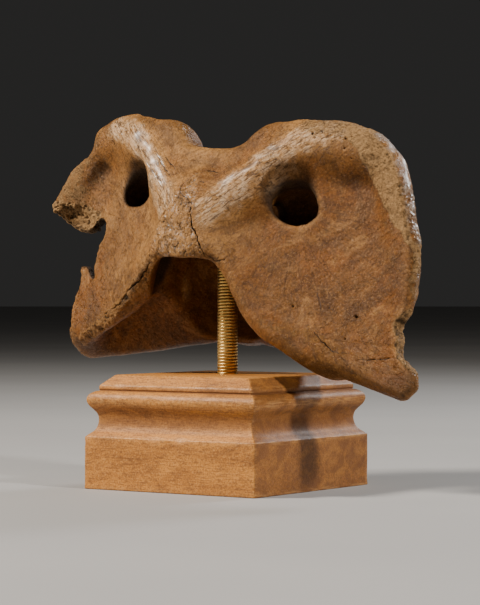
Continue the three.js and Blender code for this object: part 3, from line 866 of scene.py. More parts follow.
    def build(self) -> bpy.types.Object:
        """Makes the bone's mesh with its marks as attributes, in the row's frame."""
        lattice = Lattice(self.form, self.low, self.high, self.step)
        points, triangles, net = self.refined(lattice)
        normal = lattice.slope(points, 1.0)
        marks = self.marks(lattice, points, normal, net)
        height, marks["cavity"] = self.relief(points, marks)
        moved = points + normal * height[:, None]
        mesh = bpy.data.meshes.new("bone")
        mesh.from_pydata(self.pose.to_row(moved) * MM, [], triangles.tolist())
        for name, values in marks.items():
            if name != "crack_depth":
                layer = mesh.attributes.new(name, "FLOAT", "POINT")
                layer.data.foreach_set("value", values.astype(np.float32))
        for name, values in (("fibre", self.fibre(points)), ("ray", self.rays(points)), ("place", points)):
            layer = mesh.attributes.new(name, "FLOAT_VECTOR", "POINT")
            layer.data.foreach_set("vector", values.astype(np.float32).ravel())
        mesh.shade_smooth()
        piece = bpy.data.objects.new("bison_atlas", mesh)
        bpy.context.scene.collection.objects.link(piece)
        LOG.info("bison_atlas: %d triangles", len(triangles))
        return piece


class Signal:
    """A socket's value, with arithmetic that adds Math nodes."""

    def __init__(self, board: "NodeBoard", socket: Optional[bpy.types.NodeSocket]) -> None:
        """Wraps one output socket of a node tree, or none for a node that has no output."""
        self.board = board
        self.socket = socket

    def _math(self, operation: str, *values: Union["Signal", Number]) -> "Signal":
        """Adds one Math node."""
        sockets = dict(enumerate(values))
        return self.board.node("ShaderNodeMath", {"operation": operation}, sockets)

    def __add__(self, other: Union["Signal", Number]) -> "Signal":
        """Adds."""
        return self._math("ADD", self, other)

    __radd__ = __add__

    def __sub__(self, other: Union["Signal", Number]) -> "Signal":
        """Subtracts."""
        return self._math("SUBTRACT", self, other)

    def __rsub__(self, other: Number) -> "Signal":
        """Subtracts from a number."""
        return self._math("SUBTRACT", other, self)

    def __mul__(self, other: Union["Signal", Number]) -> "Signal":
        """Multiplies."""
        return self._math("MULTIPLY", self, other)

    __rmul__ = __mul__

    def absolute(self) -> "Signal":
        """Drops the sign."""
        return self._math("ABSOLUTE", self)

    def at_least(self, other: Union["Signal", Number]) -> "Signal":
        """Gives the larger of two."""
        return self._math("MAXIMUM", self, other)

    def at_most(self, other: Union["Signal", Number]) -> "Signal":
        """Gives the smaller of two."""
        return self._math("MINIMUM", self, other)

    def fitted(self, low: float, high: float) -> "Signal":
        """Rises smoothly from 0 at low to 1 at high."""
        settings = {"interpolation_type": "SMOOTHSTEP"}
        values = {"Value": self, "From Min": low, "From Max": high}
        return self.board.node("ShaderNodeMapRange", settings, values)


Feed = Union[Signal, Number, Sequence[float]]


class NodeBoard:
    """A material's node tree, with one way of making nodes."""

    def __init__(self, name: str) -> None:
        """Starts an empty material of the given name."""
        self.material = bpy.data.materials.new(name)
        self.material.use_nodes = True
        self.tree = self.material.node_tree
        self.tree.nodes.clear()

    def node(
        self,
        kind: str,
        settings: Mapping[str, Any],
        sockets: Mapping[Union[int, str], Feed],
        output: Union[int, str] = 0,
    ) -> Signal:
        """Adds a node.

        Args:
            kind: The node's type.
            settings: Its properties, set before its sockets; "stops" gives a ramp's places and colours.
            sockets: Values or links, by the name or number of the input.
            output: The output socket that is wanted.

        Returns:
            That output.
        """
        made = self.tree.nodes.new(kind)
        for key, value in settings.items():
            if key == "stops":
                ramp = made.color_ramp.elements
                while len(ramp) < len(value):
                    ramp.new(0.5)
                for element, (place, colour) in zip(ramp, value):
                    element.position = place
                    element.color = colour
            else:
                setattr(made, key, value)
        for key, value in sockets.items():
            if isinstance(value, Signal):
                self.tree.links.new(value.socket, made.inputs[key])
            else:
                made.inputs[key].default_value = value
        return Signal(self, made.outputs[output] if made.outputs else None)

    def mark(self, name: str) -> Signal:
        """Reads a vertex value by its name."""
        return self.node("ShaderNodeAttribute", {"attribute_name": name}, {}, "Fac")

    def place(self, name: str) -> Signal:
        """Reads a vertex vector by its name."""
        return self.node("ShaderNodeAttribute", {"attribute_name": name}, {}, "Vector")

    def scaled(self, vector: Signal, factors: Triple) -> Signal:
        """Multiplies a vector, part by part."""
        return self.node("ShaderNodeVectorMath", {"operation": "MULTIPLY"}, {0: vector, 1: factors})

    def noise(
        self,
        vector: Signal,
        wavelength: float,
        detail: float = 3.0,
        roughness: float = 0.55,
        twist: float = 0.0,
    ) -> Signal:
        """Adds noise of a wavelength in the vector's own units."""
        values = {
            "Vector": vector,
            "Scale": 1.0 / wavelength,
            "Detail": detail,
            "Roughness": roughness,
            "Distortion": twist,
        }
        return self.node("ShaderNodeTexNoise", {}, values)

    def cells(self, vector: Signal, spacing: float) -> Signal:
        """Adds cell noise of a spacing in the vector's own units."""
        return self.node("ShaderNodeTexVoronoi", {}, {"Vector": vector, "Scale": 1.0 / spacing}, "Distance")

    def blend(self, share: Feed, first: Feed, second: Feed, kind: str = "MIX") -> Signal:
        """Mixes two colours."""
        settings = {"data_type": "RGBA", "blend_type": kind}
        return self.node("ShaderNodeMix", settings, {0: share, 6: first, 7: second}, 2)

    def bump(self, height: Signal, depth: float, strength: float = 1.0) -> Signal:
        """Turns a height between 0 and 1 into a normal, for a relief of the given depth in metres."""
        values = {"Height": height, "Distance": depth, "Strength": strength}
        return self.node("ShaderNodeBump", {}, values, "Normal")

    def finish(self, sockets: Mapping[Union[int, str], Feed]) -> bpy.types.Material:
        """Closes the tree with a surface shader and gives the material."""
        shader = self.node("ShaderNodeBsdfPrincipled", {}, sockets)
        self.node("ShaderNodeOutputMaterial", {"target": "ALL"}, {"Surface": shader})
        return self.material


def tone(red: int, green: int, blue: int) -> tuple[float, float, float, float]:
    """Turns a screen colour of 0 to 255 into a linear one."""
    parts = [c / 255.0 for c in (red, green, blue)]
    line = [p / 12.92 if p <= 0.04045 else ((p + 0.055) / 1.055) ** 2.4 for p in parts]
    return (line[0], line[1], line[2], 1.0)


def linear(red: float, green: float, blue: float) -> tuple[float, float, float, float]:
    """Gives an opaque colour from its linear parts."""
    return (red, green, blue, 1.0)


@dataclass(frozen=True)
class FossilBoneFinish:
    """Mineralised bone: warm and satin wings, pale rubbed bars with painted highlights, and dull pitted
    places where it is worn; painted shade darkens its hollows, pits and concave places.
    """

    warm: tuple = linear(0.17, 0.064, 0.009)
    russet: tuple = linear(0.20, 0.068, 0.008)
    umber: tuple = linear(0.06, 0.023, 0.005)
    grey_brown: tuple = linear(0.17, 0.083, 0.026)
    golden: tuple = linear(0.47, 0.232, 0.072)
    # Ivory: the colour of the painted highlights on the bars.
    ivory: tuple = linear(0.84, 0.59, 0.36)
    tan: tuple = linear(0.40, 0.235, 0.098)
    # Dark colour for painted shade in pits and pores, and for the seams.
    spongy_deep: tuple = linear(0.06, 0.035, 0.016)
    # Pale colour of the painted highlight glints.
    painted_glint: tuple = linear(0.55, 0.42, 0.32)
    # Near-black: painted shade in the hollows, and the dark of the cracks.
    shade_and_crack_dark: tuple = linear(0.016, 0.009, 0.005)
    bump_depth: float = 1.4

    def material(self) -> bpy.types.Material:
        """Builds the material."""
        board = NodeBoard("fossil_bone")
        noise = self.noises(board)
        mask = self.masks(board, noise)
        coat = 0.4 * mask["lit"] + 0.6 * mask["shine"] + 0.6 * mask["glint"]
        return board.finish(
            {
                "Base Color": self.colour(board, noise, mask),
                "Roughness": self.roughness(noise, mask),
                "Coat Weight": coat.at_most(1.0),
                "Coat Roughness": 0.26,
                "Specular IOR Level": 0.2,
                "Normal": board.bump(self.height(noise, mask), self.bump_depth * MM, 1.0),
            }
        )

    def noises(self, board: NodeBoard) -> dict[str, Signal]:
        """Adds the noises that the finish is made of, in millimetres, by name."""
        place, fibre, ray = board.place("place"), board.place("fibre"), board.place("ray")
        return {
            "broad": board.noise(place, 34.0, 3.0, 0.55, 0.4),
            "patch": board.noise(board.scaled(fibre, (0.6, 1.0, 0.6)), 17.0, 6.0, 0.62, 0.9),
            "blotch": board.noise(place, 10.0, 5.0, 0.62, 0.8),
            "cloud": board.noise(place, 4.2, 4.0, 0.65, 0.4),
            "grain": board.noise(place, 1.15, 4.0, 0.72),
            "speck": board.noise(place, 0.5, 2.0, 0.6),
            "streak": board.noise(board.scaled(fibre, (0.16, 1.0, 0.4)), 1.4, 5.0, 0.62, 0.5),
            "hair": board.noise(board.scaled(fibre, (0.13, 1.0, 0.4)), 1.0, 3.0, 0.6, 0.5),
            "wrinkle": board.noise(board.scaled(fibre, (0.4, 1.0, 0.6)), 4.2, 5.0, 0.6, 0.3),
            "rays": board.noise(board.scaled(ray, (1.0, 0.06, 0.2)), 1.1, 3.0, 0.6, 0.2),
            "seam": board.noise(board.scaled(place, (1.3, 0.5, 0.8)), 5.0, 4.0, 0.6, 0.3),
            "pores": board.cells(place, 0.95),
        }

    def masks(self, board: NodeBoard, noise: Mapping[str, Signal]) -> dict[str, Signal]:
        """Works out where each kind of surface shows.

        Args:
            board: The material's node tree.
            noise: The noises by name.

        Returns:
            Values from 0 to 1, by the name of the kind of surface.
        """
        kept = ("crack", "strand", "hollow", "edge", "dip", "cavity", "pale")
        mask = {name: board.mark(name) for name in kept}
        cloud, grain, strand = noise["cloud"], noise["grain"], mask["strand"]
        ragged = 0.9 * (grain - 0.5) + 1.2 * (cloud - 0.5)
        eaten = (board.mark("worn").at_least(board.mark("torn")) + ragged).fitted(0.3, 0.75)
        knobbly = (board.mark("band") + ragged).fitted(0.3, 0.8)
        scaly = (board.mark("plate") + ragged).fitted(0.25, 0.7)
        # Painted highlights on the bars: lit gives broad patches and shine gives streaks, both painted
        # ivory.
        lit = (strand - 1.8 * (0.58 - noise["blotch"])).fitted(0.2, 1.0)
        # Painted glints on the rough plate.
        flash = 0.9 * scaly * grain.fitted(0.5, 0.58) * cloud.fitted(0.56, 0.46)
        pore = (1.0 - noise["pores"].fitted(0.12, 0.3)) * eaten.at_least(0.6 * knobbly)
        seam_line = 1.0 - (noise["seam"] - 0.5).absolute().fitted(0.0, 0.01)
        mask["eaten"] = eaten
        mask["knobbly"] = knobbly
        mask["scaly"] = scaly
        mask["lit"] = lit
        mask["shine"] = lit * noise["streak"].fitted(0.47, 0.56) * (1.0 - mask["hollow"].fitted(0.3, 0.5))
        # Painted highlight glints along the polished right edge and on the plate.
        mask["glint"] = board.mark("polish") * cloud.fitted(0.42, 0.56) + flash
        mask["pore_hole"] = pore * cloud.fitted(0.42, 0.54)
        mask["seam"] = seam_line * scaly
        mask["fine_line"] = noise["hair"].fitted(0.54, 0.62) * (0.15 + 0.6 * strand)
        mask["crease"] = 1.0 - (noise["wrinkle"] - 0.5).absolute().fitted(0.0, 0.008)
        return mask

    def colour(self, board: NodeBoard, noise: Mapping[str, Signal], mask: Mapping[str, Signal]) -> Signal:
        """Lays the colours over one another, from the broad ones to the cracks.

        Args:
            board: The material's node tree.
            noise: The noises by name.
            mask: Where each kind of surface shows.

        Returns:
            The base colour.
        """
        broad, patch, blotch = noise["broad"], noise["patch"], noise["blotch"]
        cloud, grain = noise["cloud"], noise["grain"]
        lit = mask["lit"] * cloud.fitted(0.62, 0.4) * 0.4
        coats: tuple[tuple[Signal, tuple], ...] = (
            # Painted light from the pale mark.
            (mask["pale"] * (0.35 + 0.4 * broad.fitted(0.55, 0.42)), self.golden),
            (patch.fitted(0.5, 0.62) * 0.55, self.umber),
            (patch.fitted(0.47, 0.38) * 0.35, self.golden),
            (blotch.fitted(0.48, 0.64) * 0.4, self.umber),
            (cloud.fitted(0.48, 0.62) * 0.4, self.grey_brown),
            (mask["strand"] * 0.7, self.golden),
            # Painted highlights on the bars.
            (lit.at_least(mask["shine"] * 0.6), self.ivory),
            (mask["edge"] * 0.3, self.golden),
            (mask["scaly"].at_least(mask["knobbly"]) * 0.5, self.golden),
            (mask["eaten"] * 0.8, self.tan),
            # Painted highlight glints.
            (mask["glint"].at_most(1.0) * 0.6, self.painted_glint),
            (noise["rays"].fitted(0.52, 0.64) * 0.35, self.umber),
            (mask["fine_line"].at_least(mask["crease"] * 0.4), self.umber),
            (grain.fitted(0.5, 0.64) * 0.45, self.umber),
            (grain.fitted(0.46, 0.34) * 0.35, self.golden),
            # Painted shade deep in pits and pores; the seams between scales are dark lines.
            (mask["cavity"] * 0.8, self.spongy_deep),
            ((mask["pore_hole"] * 0.85).at_least(mask["seam"] * 0.75), self.spongy_deep),
            # Painted shade in concave places, and the darker spur tip.
            (mask["dip"] * 0.5, self.umber),
            # Painted shade in shut-in places, then the dark cracks.
            (mask["hollow"].fitted(0.25, 0.55) * 0.85, self.shade_and_crack_dark),
            (mask["crack"].fitted(0.25, 0.85) * 0.95, self.shade_and_crack_dark),
        )
        colour = board.blend(broad.fitted(0.42, 0.58), self.warm, self.russet)
        for share, coat in coats:
            colour = board.blend(share, colour, coat)
        return colour

    @staticmethod
    def roughness(noise: Mapping[str, Signal], mask: Mapping[str, Signal]) -> Signal:
        """Gives the roughness: dull where worn or hollow, glossier where rubbed."""
        rough = 0.38 + 0.35 * mask["eaten"] + 0.9 * (noise["grain"] - 0.5) + 0.4 * mask["hollow"]
        rough = rough - 0.1 * mask["shine"] - 0.06 * mask["edge"] - 0.15 * mask["glint"]
        return rough.at_least(0.24).at_most(0.95)

    @staticmethod
    def height(noise: Mapping[str, Signal], mask: Mapping[str, Signal]) -> Signal:
        """Gives the height of the relief that is too fine for the mesh."""
        grain = noise["grain"]
        height = 0.4 * grain + 0.14 * noise["speck"] + 0.3 * noise["cloud"]
        height = height + 0.35 * mask["strand"] * noise["streak"]
        height = height + 0.5 * mask["eaten"].at_least(mask["knobbly"]) * grain - 0.12 * noise["rays"]
        height = height - 0.25 * mask["fine_line"] - 0.2 * mask["crease"]
        return height - 0.5 * mask["pore_hole"] - 0.4 * mask["seam"]


@dataclass(frozen=True)
class WoodFinish:
    """Oiled hardwood with its grain along X, fine flecks and growth rings about a heart below the block."""

    honey: tuple = linear(0.62, 0.25, 0.042)
    amber: tuple = linear(0.40, 0.148, 0.024)
    brown: tuple = linear(0.15, 0.055, 0.015)
    dust: tuple = linear(0.72, 0.38, 0.13)
    heart: Triple = (0.0, 38.0, -70.0)

    def material(self) -> bpy.types.Material:
        """Builds the material."""
        board = NodeBoard("oiled_wood")
        place = board.place("place")
        edge, groove, end = board.mark("edge"), board.mark("groove"), board.mark("end")
        wave = board.noise(board.scaled(place, (0.25, 1.0, 1.0)), 40.0, 3.0, 0.5)
        subtract = {"operation": "SUBTRACT"}
        from_heart = board.node("ShaderNodeVectorMath", subtract, {0: place, 1: self.heart})
        flat = board.scaled(from_heart, (0.0, 1.0, 1.0))
        radius = board.node("ShaderNodeVectorMath", {"operation": "LENGTH"}, {0: flat}, "Value")
        rings = (radius + 9.0 * wave) * (1.0 / 5.2)
        ring = board.node("ShaderNodeMath", {"operation": "PINGPONG"}, {0: rings, 1: 1.0})
        fleck = board.noise(board.scaled(place, (0.3, 1.0, 1.0)), 1.1, 5.0, 0.7)
        pore = board.noise(board.scaled(place, (0.07, 1.0, 1.0)), 0.6, 2.0, 0.5)
        blotch = board.noise(board.scaled(place, (0.35, 1.0, 1.0)), 11.0, 5.0, 0.65, 0.8)
        speck = board.noise(place, 0.8, 3.0, 0.7)
        scratch = board.noise(board.scaled(place, (1.0, 0.12, 1.4)), 1.1, 2.0, 0.5, 0.6)
        colour = board.blend(ring.fitted(0.1, 0.95) * 0.4, self.honey, self.amber)
        colour = board.blend(blotch.fitted(0.44, 0.58) * 0.65, colour, self.amber)
        colour = board.blend(blotch.fitted(0.54, 0.68) * 0.45, colour, self.brown)
        colour = board.blend(fleck.fitted(0.5, 0.64) * 0.5, colour, self.brown)
        colour = board.blend(pore.fitted(0.54, 0.64) * 0.4, colour, self.brown)
        colour = board.blend(speck.fitted(0.51, 0.62) * 0.5, colour, self.brown)
        colour = board.blend(speck.fitted(0.46, 0.36) * 0.3, colour, self.dust)
        saw = board.noise(board.scaled(place, (1.0, 0.35, 0.5)), 4.0, 4.0, 0.62, 0.8)
        # Darker end-grain faces, deepened as painted shade on the right face.
        colour = board.blend(end * (0.5 + 0.3 * saw.fitted(0.42, 0.6)), colour, self.brown)
        # Painted shade in the grooves and the cove.
        colour = board.blend(groove * 0.85, colour, self.brown)
        colour = board.blend(edge * scratch.fitted(0.4, 0.7) * 0.45, colour, self.dust)
        rough = 0.55 + 0.4 * (fleck - 0.5) + 0.2 * groove - 0.08 * edge
        height = 0.6 * fleck + 0.4 * pore + 0.25 * ring + 0.4 * speck
        return board.finish(
            {
                "Base Color": colour,
                "Roughness": rough,
                "Specular IOR Level": 0.35,
                "Normal": board.bump(height, 0.3 * MM, 0.8),
            }
        )


@dataclass(frozen=True)
class BrassFinish:
    """Turned brass with a thin tarnish, darker and less metallic in the thread's roots."""

    bright: tuple = linear(0.78, 0.50, 0.15)
    tarnish: tuple = linear(0.40, 0.24, 0.065)
    root_dark: tuple = linear(0.03, 0.016, 0.006)

    def material(self) -> bpy.types.Material:
        """Builds the material."""
        board = NodeBoard("threaded_brass")
        place = board.place("place")
        root = board.mark("root")
        cloud = board.noise(place, 6.0, 4.0, 0.6)
        ring = board.noise(board.scaled(place, (0.08, 0.08, 1.0)), 1.6, 3.0, 0.6)
        colour = board.blend(cloud.fitted(0.35, 0.7) * 0.5, self.bright, self.tarnish)
        colour = board.blend(ring.fitted(0.5, 0.7) * 0.6, colour, self.tarnish)
        uneven = board.noise(board.scaled(place, (0.2, 0.2, 1.0)), 2.6, 2.0, 0.6)
        kept = 0.3 + 0.65 * uneven.fitted(0.42, 0.56)
        colour = board.blend(root.fitted(0.3, 0.9) * kept, colour, self.root_dark)
        rough = 0.26 + 0.2 * cloud + 0.3 * root
        return board.finish(
            {
                "Base Color": colour,
                "Metallic": 1.0 - 0.5 * root,
                "Roughness": rough,
                "Normal": board.bump(0.6 * ring + 0.4 * cloud, 0.08 * MM, 0.5),
            }
        )


@dataclass(frozen=True)
class FloorFinish:
    """Pale matt studio floor."""

    pale: tuple = tone(168, 165, 161)
    cool: tuple = tone(161, 158, 155)

    def material(self) -> bpy.types.Material:
        """Builds the material."""
        board = NodeBoard("pale_floor")
        place = board.node("ShaderNodeTexCoord", {}, {}, "Object")
        cloud = board.noise(place, 0.35, 3.0, 0.5)
        colour = board.blend(cloud.fitted(0.3, 0.7), self.pale, self.cool)
        return board.finish({"Base Color": colour, "Roughness": 0.7})


def linked_mesh(name: str, points: Array, faces: list, marks: Mapping[str, Array]) -> bpy.types.Object:
    """Makes an object from millimetre points, with vertex values and the points themselves as attributes.

    Args:
        name: The object's name.
        points: Vertices in the row's frame, in millimetres.
        faces: Corner numbers of each face.
        marks: Values of each vertex, by name.

    Returns:
        The linked object, smooth shaded.
    """
    mesh = bpy.data.meshes.new(name)
    mesh.from_pydata(points * MM, [], faces)
    for key, values in marks.items():
        layer = mesh.attributes.new(key, "FLOAT", "POINT")
        layer.data.foreach_set("value", values.astype(np.float32))
    layer = mesh.attributes.new("place", "FLOAT_VECTOR", "POINT")
    layer.data.foreach_set("vector", points.astype(np.float32).ravel())
    mesh.shade_smooth()
    piece = bpy.data.objects.new(name, mesh)
    bpy.context.scene.collection.objects.link(piece)
    LOG.info("%s: %d faces", name, len(faces))
    return piece


@dataclass(frozen=True)
class ThreadedRod:
    """The brass rod with a single-start right-hand thread."""

    radius: float = 5.0
    foot: float = 25.3
    top: float = 158.0
    chamfer: float = 0.8
    pitch: float = 1.5
    thread_depth: float = 0.3
    sides: int = 44
    shares: tuple[float, ...] = (0.0, 0.1, 0.56, 0.7, 0.8, 0.88)
    depths: tuple[float, ...] = (0.15, 0.0, 0.0, 0.15, 1.0, 1.0)

    def build(self) -> bpy.types.Object:
        """Makes the rod's mesh: rows that follow the helix, closed at both ends."""
        rows_in_turn = len(self.shares)
        turns = math.ceil((self.top - self.foot) / self.pitch) + 2
        angle = np.arange(self.sides) / self.sides
        points, root = [], []
        for row in range(turns * rows_in_turn):
            turn, part = divmod(row, rows_in_turn)
            height = self.foot + self.pitch * (turn - 1 + self.shares[part] + angle)
            held = np.clip(height, self.foot, self.top)
            radius = self.radius - self.thread_depth * self.depths[part]
            from_end = np.minimum(held - self.foot, self.top - held)
            radius = np.minimum(radius, self.radius - self.chamfer + from_end)
            turned = 2.0 * np.pi * angle
            points.append(np.stack([radius * np.cos(turned), radius * np.sin(turned), held], axis=1))
            root.append(np.full(self.sides, self.depths[part]))
        points_all = np.concatenate(points)
        rows = turns * rows_in_turn
        faces = []
        for row in range(rows - 1):
            for i in range(self.sides - 1):
                a = row * self.sides + i
                faces.append((a, a + 1, a + 1 + self.sides, a + self.sides))
            a = row * self.sides + self.sides - 1
            ahead = row + rows_in_turn
            if ahead + 1 < rows:
                b = ahead * self.sides
                faces.append((a, b, b + self.sides, a + self.sides))
        piece = linked_mesh("brass_rod", points_all, faces, {"root": np.concatenate(root)})
        shape = bmesh.new()
        shape.from_mesh(piece.data)
        bmesh.ops.remove_doubles(shape, verts=shape.verts, dist=1e-6)
        bmesh.ops.dissolve_degenerate(shape, edges=shape.edges, dist=1e-6)
        bmesh.ops.holes_fill(shape, edges=[e for e in shape.edges if e.is_boundary], sides=0)
        bmesh.ops.recalc_face_normals(shape, faces=shape.faces)
        shape.to_mesh(piece.data)
        shape.free()
        return piece


class Run(Enum):
    """How the stations of a stretch of the block's profile are joined."""

    STRAIGHT = "straight"
    CURVED = "curved"


@dataclass(frozen=True)
class MouldedBlock:
    """The wooden block: square plinth, cove, bead and bevelled top plate, with a hole for the rod."""

    runs: tuple[tuple[Run, int, Path], ...] = (
        (Run.STRAIGHT, 8, ((0.0, 0.0), (49.4, 0.0))),
        (Run.CURVED, 4, ((49.4, 0.0), (49.85, 0.15), (50.0, 0.6))),
        (Run.STRAIGHT, 14, ((50.0, 0.6), (50.0, 24.8))),
        (Run.CURVED, 6, ((50.0, 24.8), (49.9, 25.3), (49.4, 25.7))),
        (
            Run.CURVED,
            44,
            (
                (49.4, 25.7), (48.7, 26.4), (46.6, 28.3), (45.5, 30.6), (45.1, 33.1), (45.2, 35.0),
                (45.8, 36.8), (47.0, 38.5), (48.5, 40.4), (49.4, 43.0), (48.7, 45.5), (46.6, 47.1),
                (45.0, 47.5),
            ),
        ),
        (Run.CURVED, 6, ((45.0, 47.5), (44.7, 47.8), (45.0, 48.2))),
        (Run.STRAIGHT, 3, ((45.0, 48.2), (44.9, 49.6))),
        (Run.CURVED, 5, ((44.9, 49.6), (44.7, 50.2), (44.3, 50.6))),
        (Run.STRAIGHT, 8, ((44.3, 50.6), (39.8, 54.7))),
        (Run.CURVED, 5, ((39.8, 54.7), (39.3, 55.05), (38.6, 55.2))),
        (Run.STRAIGHT, 12, ((38.6, 55.2), (6.3, 55.2))),
    )
    worn_edges: tuple[Triple, ...] = (
        (25.3, 49.8, 0.9),
        (43.0, 49.4, 2.2),
        (50.2, 44.7, 0.8),
        (55.1, 39.2, 0.9),
        (0.4, 49.8, 0.7),
    )
    # Painted shade: dark lines in the grooves, the main one where the bead meets the top plate, and a
    # darker band in the cove below the bead.
    shaded_grooves: tuple[Triple, ...] = ((47.8, 44.8, 0.9), (0.0, 50.0, 0.5))
    cove_shade_height: float = 33.5
    cove_shade_width: float = 4.5
    cove_shade_share: float = 0.6
    hole_radius: float = 5.3
    hole_depth: float = 30.2
    corner: float = 0.7
    side_points: int = 44
    corner_points: int = 5

    def profile(self) -> list[tuple[float, float]]:
        """Gives the half width and height of every ring."""
        stations: list[tuple[float, float]] = []
        for kind, count, path in self.runs:
            places = np.linspace(0.0, 1.0, count + 1)
            half, height = (np.array(v) for v in zip(*path))
            lengths = np.hypot(np.diff(half), np.diff(height))
            walked = np.concatenate([[0.0], np.cumsum(lengths)]) / lengths.sum()
            if kind is Run.CURVED:
                half, height = self.rounded(half), self.rounded(height)
                lengths = np.hypot(np.diff(half), np.diff(height))
                walked = np.concatenate([[0.0], np.cumsum(lengths)]) / lengths.sum()
            xs, zs = np.interp(places, walked, half), np.interp(places, walked, height)
            stations.extend(list(zip(xs, zs))[: count + 1 if path is self.runs[-1][2] else count])
        return stations

    @staticmethod
    def rounded(values: Array) -> Array:
        """Puts a smooth curve through evenly counted values."""
        padded = np.concatenate([[2 * values[0] - values[1]], values, [2 * values[-1] - values[-2]]])
        out = []
        for i in range(1, len(padded) - 2):
            a, b, c, d = padded[i - 1 : i + 3]
            t = np.linspace(0.0, 1.0, 9)[:-1]
            square = 2 * a - 5 * b + 4 * c - d
            cube = 3 * b - a - 3 * c + d
            out.append(0.5 * (2 * b + (c - a) * t + square * t**2 + cube * t**3))
        return np.concatenate(out + [values[-1:]])

    def ring(self, half: float, height: float) -> Array:
        """Gives a square ring with rounded corners, anticlockwise from the middle of a corner."""
        corner = min(self.corner, half * 0.5)
        inner = half - corner
        places = []
        for quarter in range(4):
            turn = np.pi / 2 * quarter
            bend = np.linspace(0.0, np.pi / 2, self.corner_points)
            arc = np.stack([inner + corner * np.cos(bend), inner + corner * np.sin(bend)], axis=1)
            side_x = np.linspace(inner, -inner, self.side_points + 2)[1:-1]
            side = np.stack([side_x, np.full(self.side_points, half)], axis=1)
            flat = np.concatenate([arc, side])
            spin = np.array([[math.cos(turn), math.sin(turn)], [-math.sin(turn), math.cos(turn)]])
            places.append(flat @ spin)
        flat = np.concatenate(places)
        return np.column_stack([flat, np.full(len(flat), height)])

    def build(self) -> bpy.types.Object:
        """Makes the block's mesh with its worn edges and grooves marked."""
        stations = self.profile()
        rings = [self.ring(half, height) for half, height in stations if half > 0]
        outer = rings[-1]
        spokes = outer[:, :2] / np.linalg.norm(outer[:, :2], axis=1, keepdims=True)
        top = self.runs[-1][2][-1][1]
        wide = self.hole_radius + 0.25
        for radius, depth in ((wide, 0.0), (self.hole_radius, 0.25), (self.hole_radius, self.hole_depth)):
            rings.append(np.column_stack([spokes * radius, np.full(len(spokes), top - depth)]))
        count = len(outer)
        points = np.concatenate(rings)
        faces: list = []
        for row in range(len(rings) - 1):
            for i in range(count):
                j = (i + 1) % count
                a, b = row * count, (row + 1) * count
                faces.append((a + i, a + j, b + j, b + i))
        foot = len(points)
        points = np.concatenate([points, [[0.0, 0.0, rings[0][0, 2]], [0.0, 0.0, rings[-1][0, 2]]]])
        last = (len(rings) - 1) * count
        for i in range(count):
            j = (i + 1) % count
            faces.append((foot, j, i))
            faces.append((foot + 1, last + i, last + j))
        edge, groove = self.wear(points)
        # End-grain faces at either end along X. The finish darkens them: end grain is darker, and the depth
        # of that darkening is painted shade for the block's right face.
        end = ease(np.abs(points[:, 0]) - np.abs(points[:, 1]), -0.4, 0.4) * ease(points[:, 2], 55.0, 54.6)
        points = self.uneven(points, edge)
        return linked_mesh("moulded_block", points, faces, {"edge": edge, "groove": groove, "end": end})

    def wear(self, points: Array) -> tuple[Array, Array]:
        """Marks the rubbed edges, and the grooves and cove band that get painted shade."""
        half = np.abs(points[:, :2]).max(axis=1)
        other = np.abs(points[:, :2]).min(axis=1)
        height = points[:, 2]
        corner = bell(half - other, 1.3) * (half > 30)
        edge = corner * 0.8
        for level, size, width in self.worn_edges:
            edge = np.maximum(edge, bell(height - level, width) * bell(half - size, width))
        groove = np.zeros(len(points))
        for level, size, width in self.shaded_grooves:
            groove = np.maximum(groove, bell(height - level, width) * bell(half - size, 1.2))
        # Painted shade: a darker band in the cove, under the bead's overhang.
        cove_shade = self.cove_shade_share * bell(height - self.cove_shade_height, self.cove_shade_width) * (half > 30)
        return np.clip(edge, 0, 1), np.maximum(groove, cove_shade)

    @staticmethod
    def uneven(points: Array, edge: Array) -> Array:
        """Takes hand-made unevenness and small knocks off the sharp form, leaving the underside flat."""
        grain = Grain(5)
        above = ease(points[:, 2], 0.2, 2.0) * (np.linalg.norm(points[:, :2], axis=1) > 8.0)
        inward = -points.copy()
        inward[:, 2] = 0.0
        inward /= np.maximum(np.linalg.norm(inward, axis=1, keepdims=True), 1.0)
        knocks = np.clip(grain.layers(points, 9.0, 3) - 0.25, 0.0, 1.0) * edge
        depth = 0.14 * (1.0 + grain.layers(points, 26.0, 2)) + 0.8 * knocks
        return points + inward * (depth * above)[:, None]


@dataclass(frozen=True)
class PhotoCamera:
    """The photograph's viewpoint: its direction, its aim beside the rod's axis and its distance."""

    azimuth: float = math.radians(34.47)
    elevation: float = math.radians(0.27)
    aside: float = 6.1
    height: float = 90.2
    distance: float = 1200.0
    focal_pixels: float = 2450.5
    sensor: float = 36.0

    def axes(self) -> tuple[Vector, Vector, Vector]:
        """Gives the view's right, up and backward directions."""
        flat, rise = math.cos(self.elevation), math.sin(self.elevation)
        back = Vector((math.sin(self.azimuth) * flat, -math.cos(self.azimuth) * flat, rise))
        right = Vector((math.cos(self.azimuth), math.sin(self.azimuth), 0.0))
        return right, back.cross(right), back

    def aim(self) -> Vector:
        """Gives the point in the middle of the picture, in metres."""
        right, _, _ = self.axes()
        return (right * self.aside + Vector((0.0, 0.0, self.height))) * MM

    def build(self) -> None:
        """Makes the camera and sets it as the scene's own."""
        right, up, back = self.axes()
        data = bpy.data.cameras.new("photo_camera")
        data.sensor_width = self.sensor
        data.lens = self.focal_pixels * self.sensor / PHOTO_LONG_SIDE
        data.clip_start, data.clip_end = 0.05, 60.0
        camera = bpy.data.objects.new("photo_camera", data)
        turn = Matrix((right, up, back)).transposed().to_4x4()
        camera.matrix_world = Matrix.Translation(self.aim() + back * self.distance * MM) @ turn
        bpy.context.scene.collection.objects.link(camera)
        bpy.context.scene.camera = camera


@dataclass(frozen=True)
class SoftLight:
    """A square studio light, placed along the camera's right, up and backward axes from the aim."""

    name: str
    aside: float
    above: float
    toward: float
    size: float
    power: float
    colour: Triple


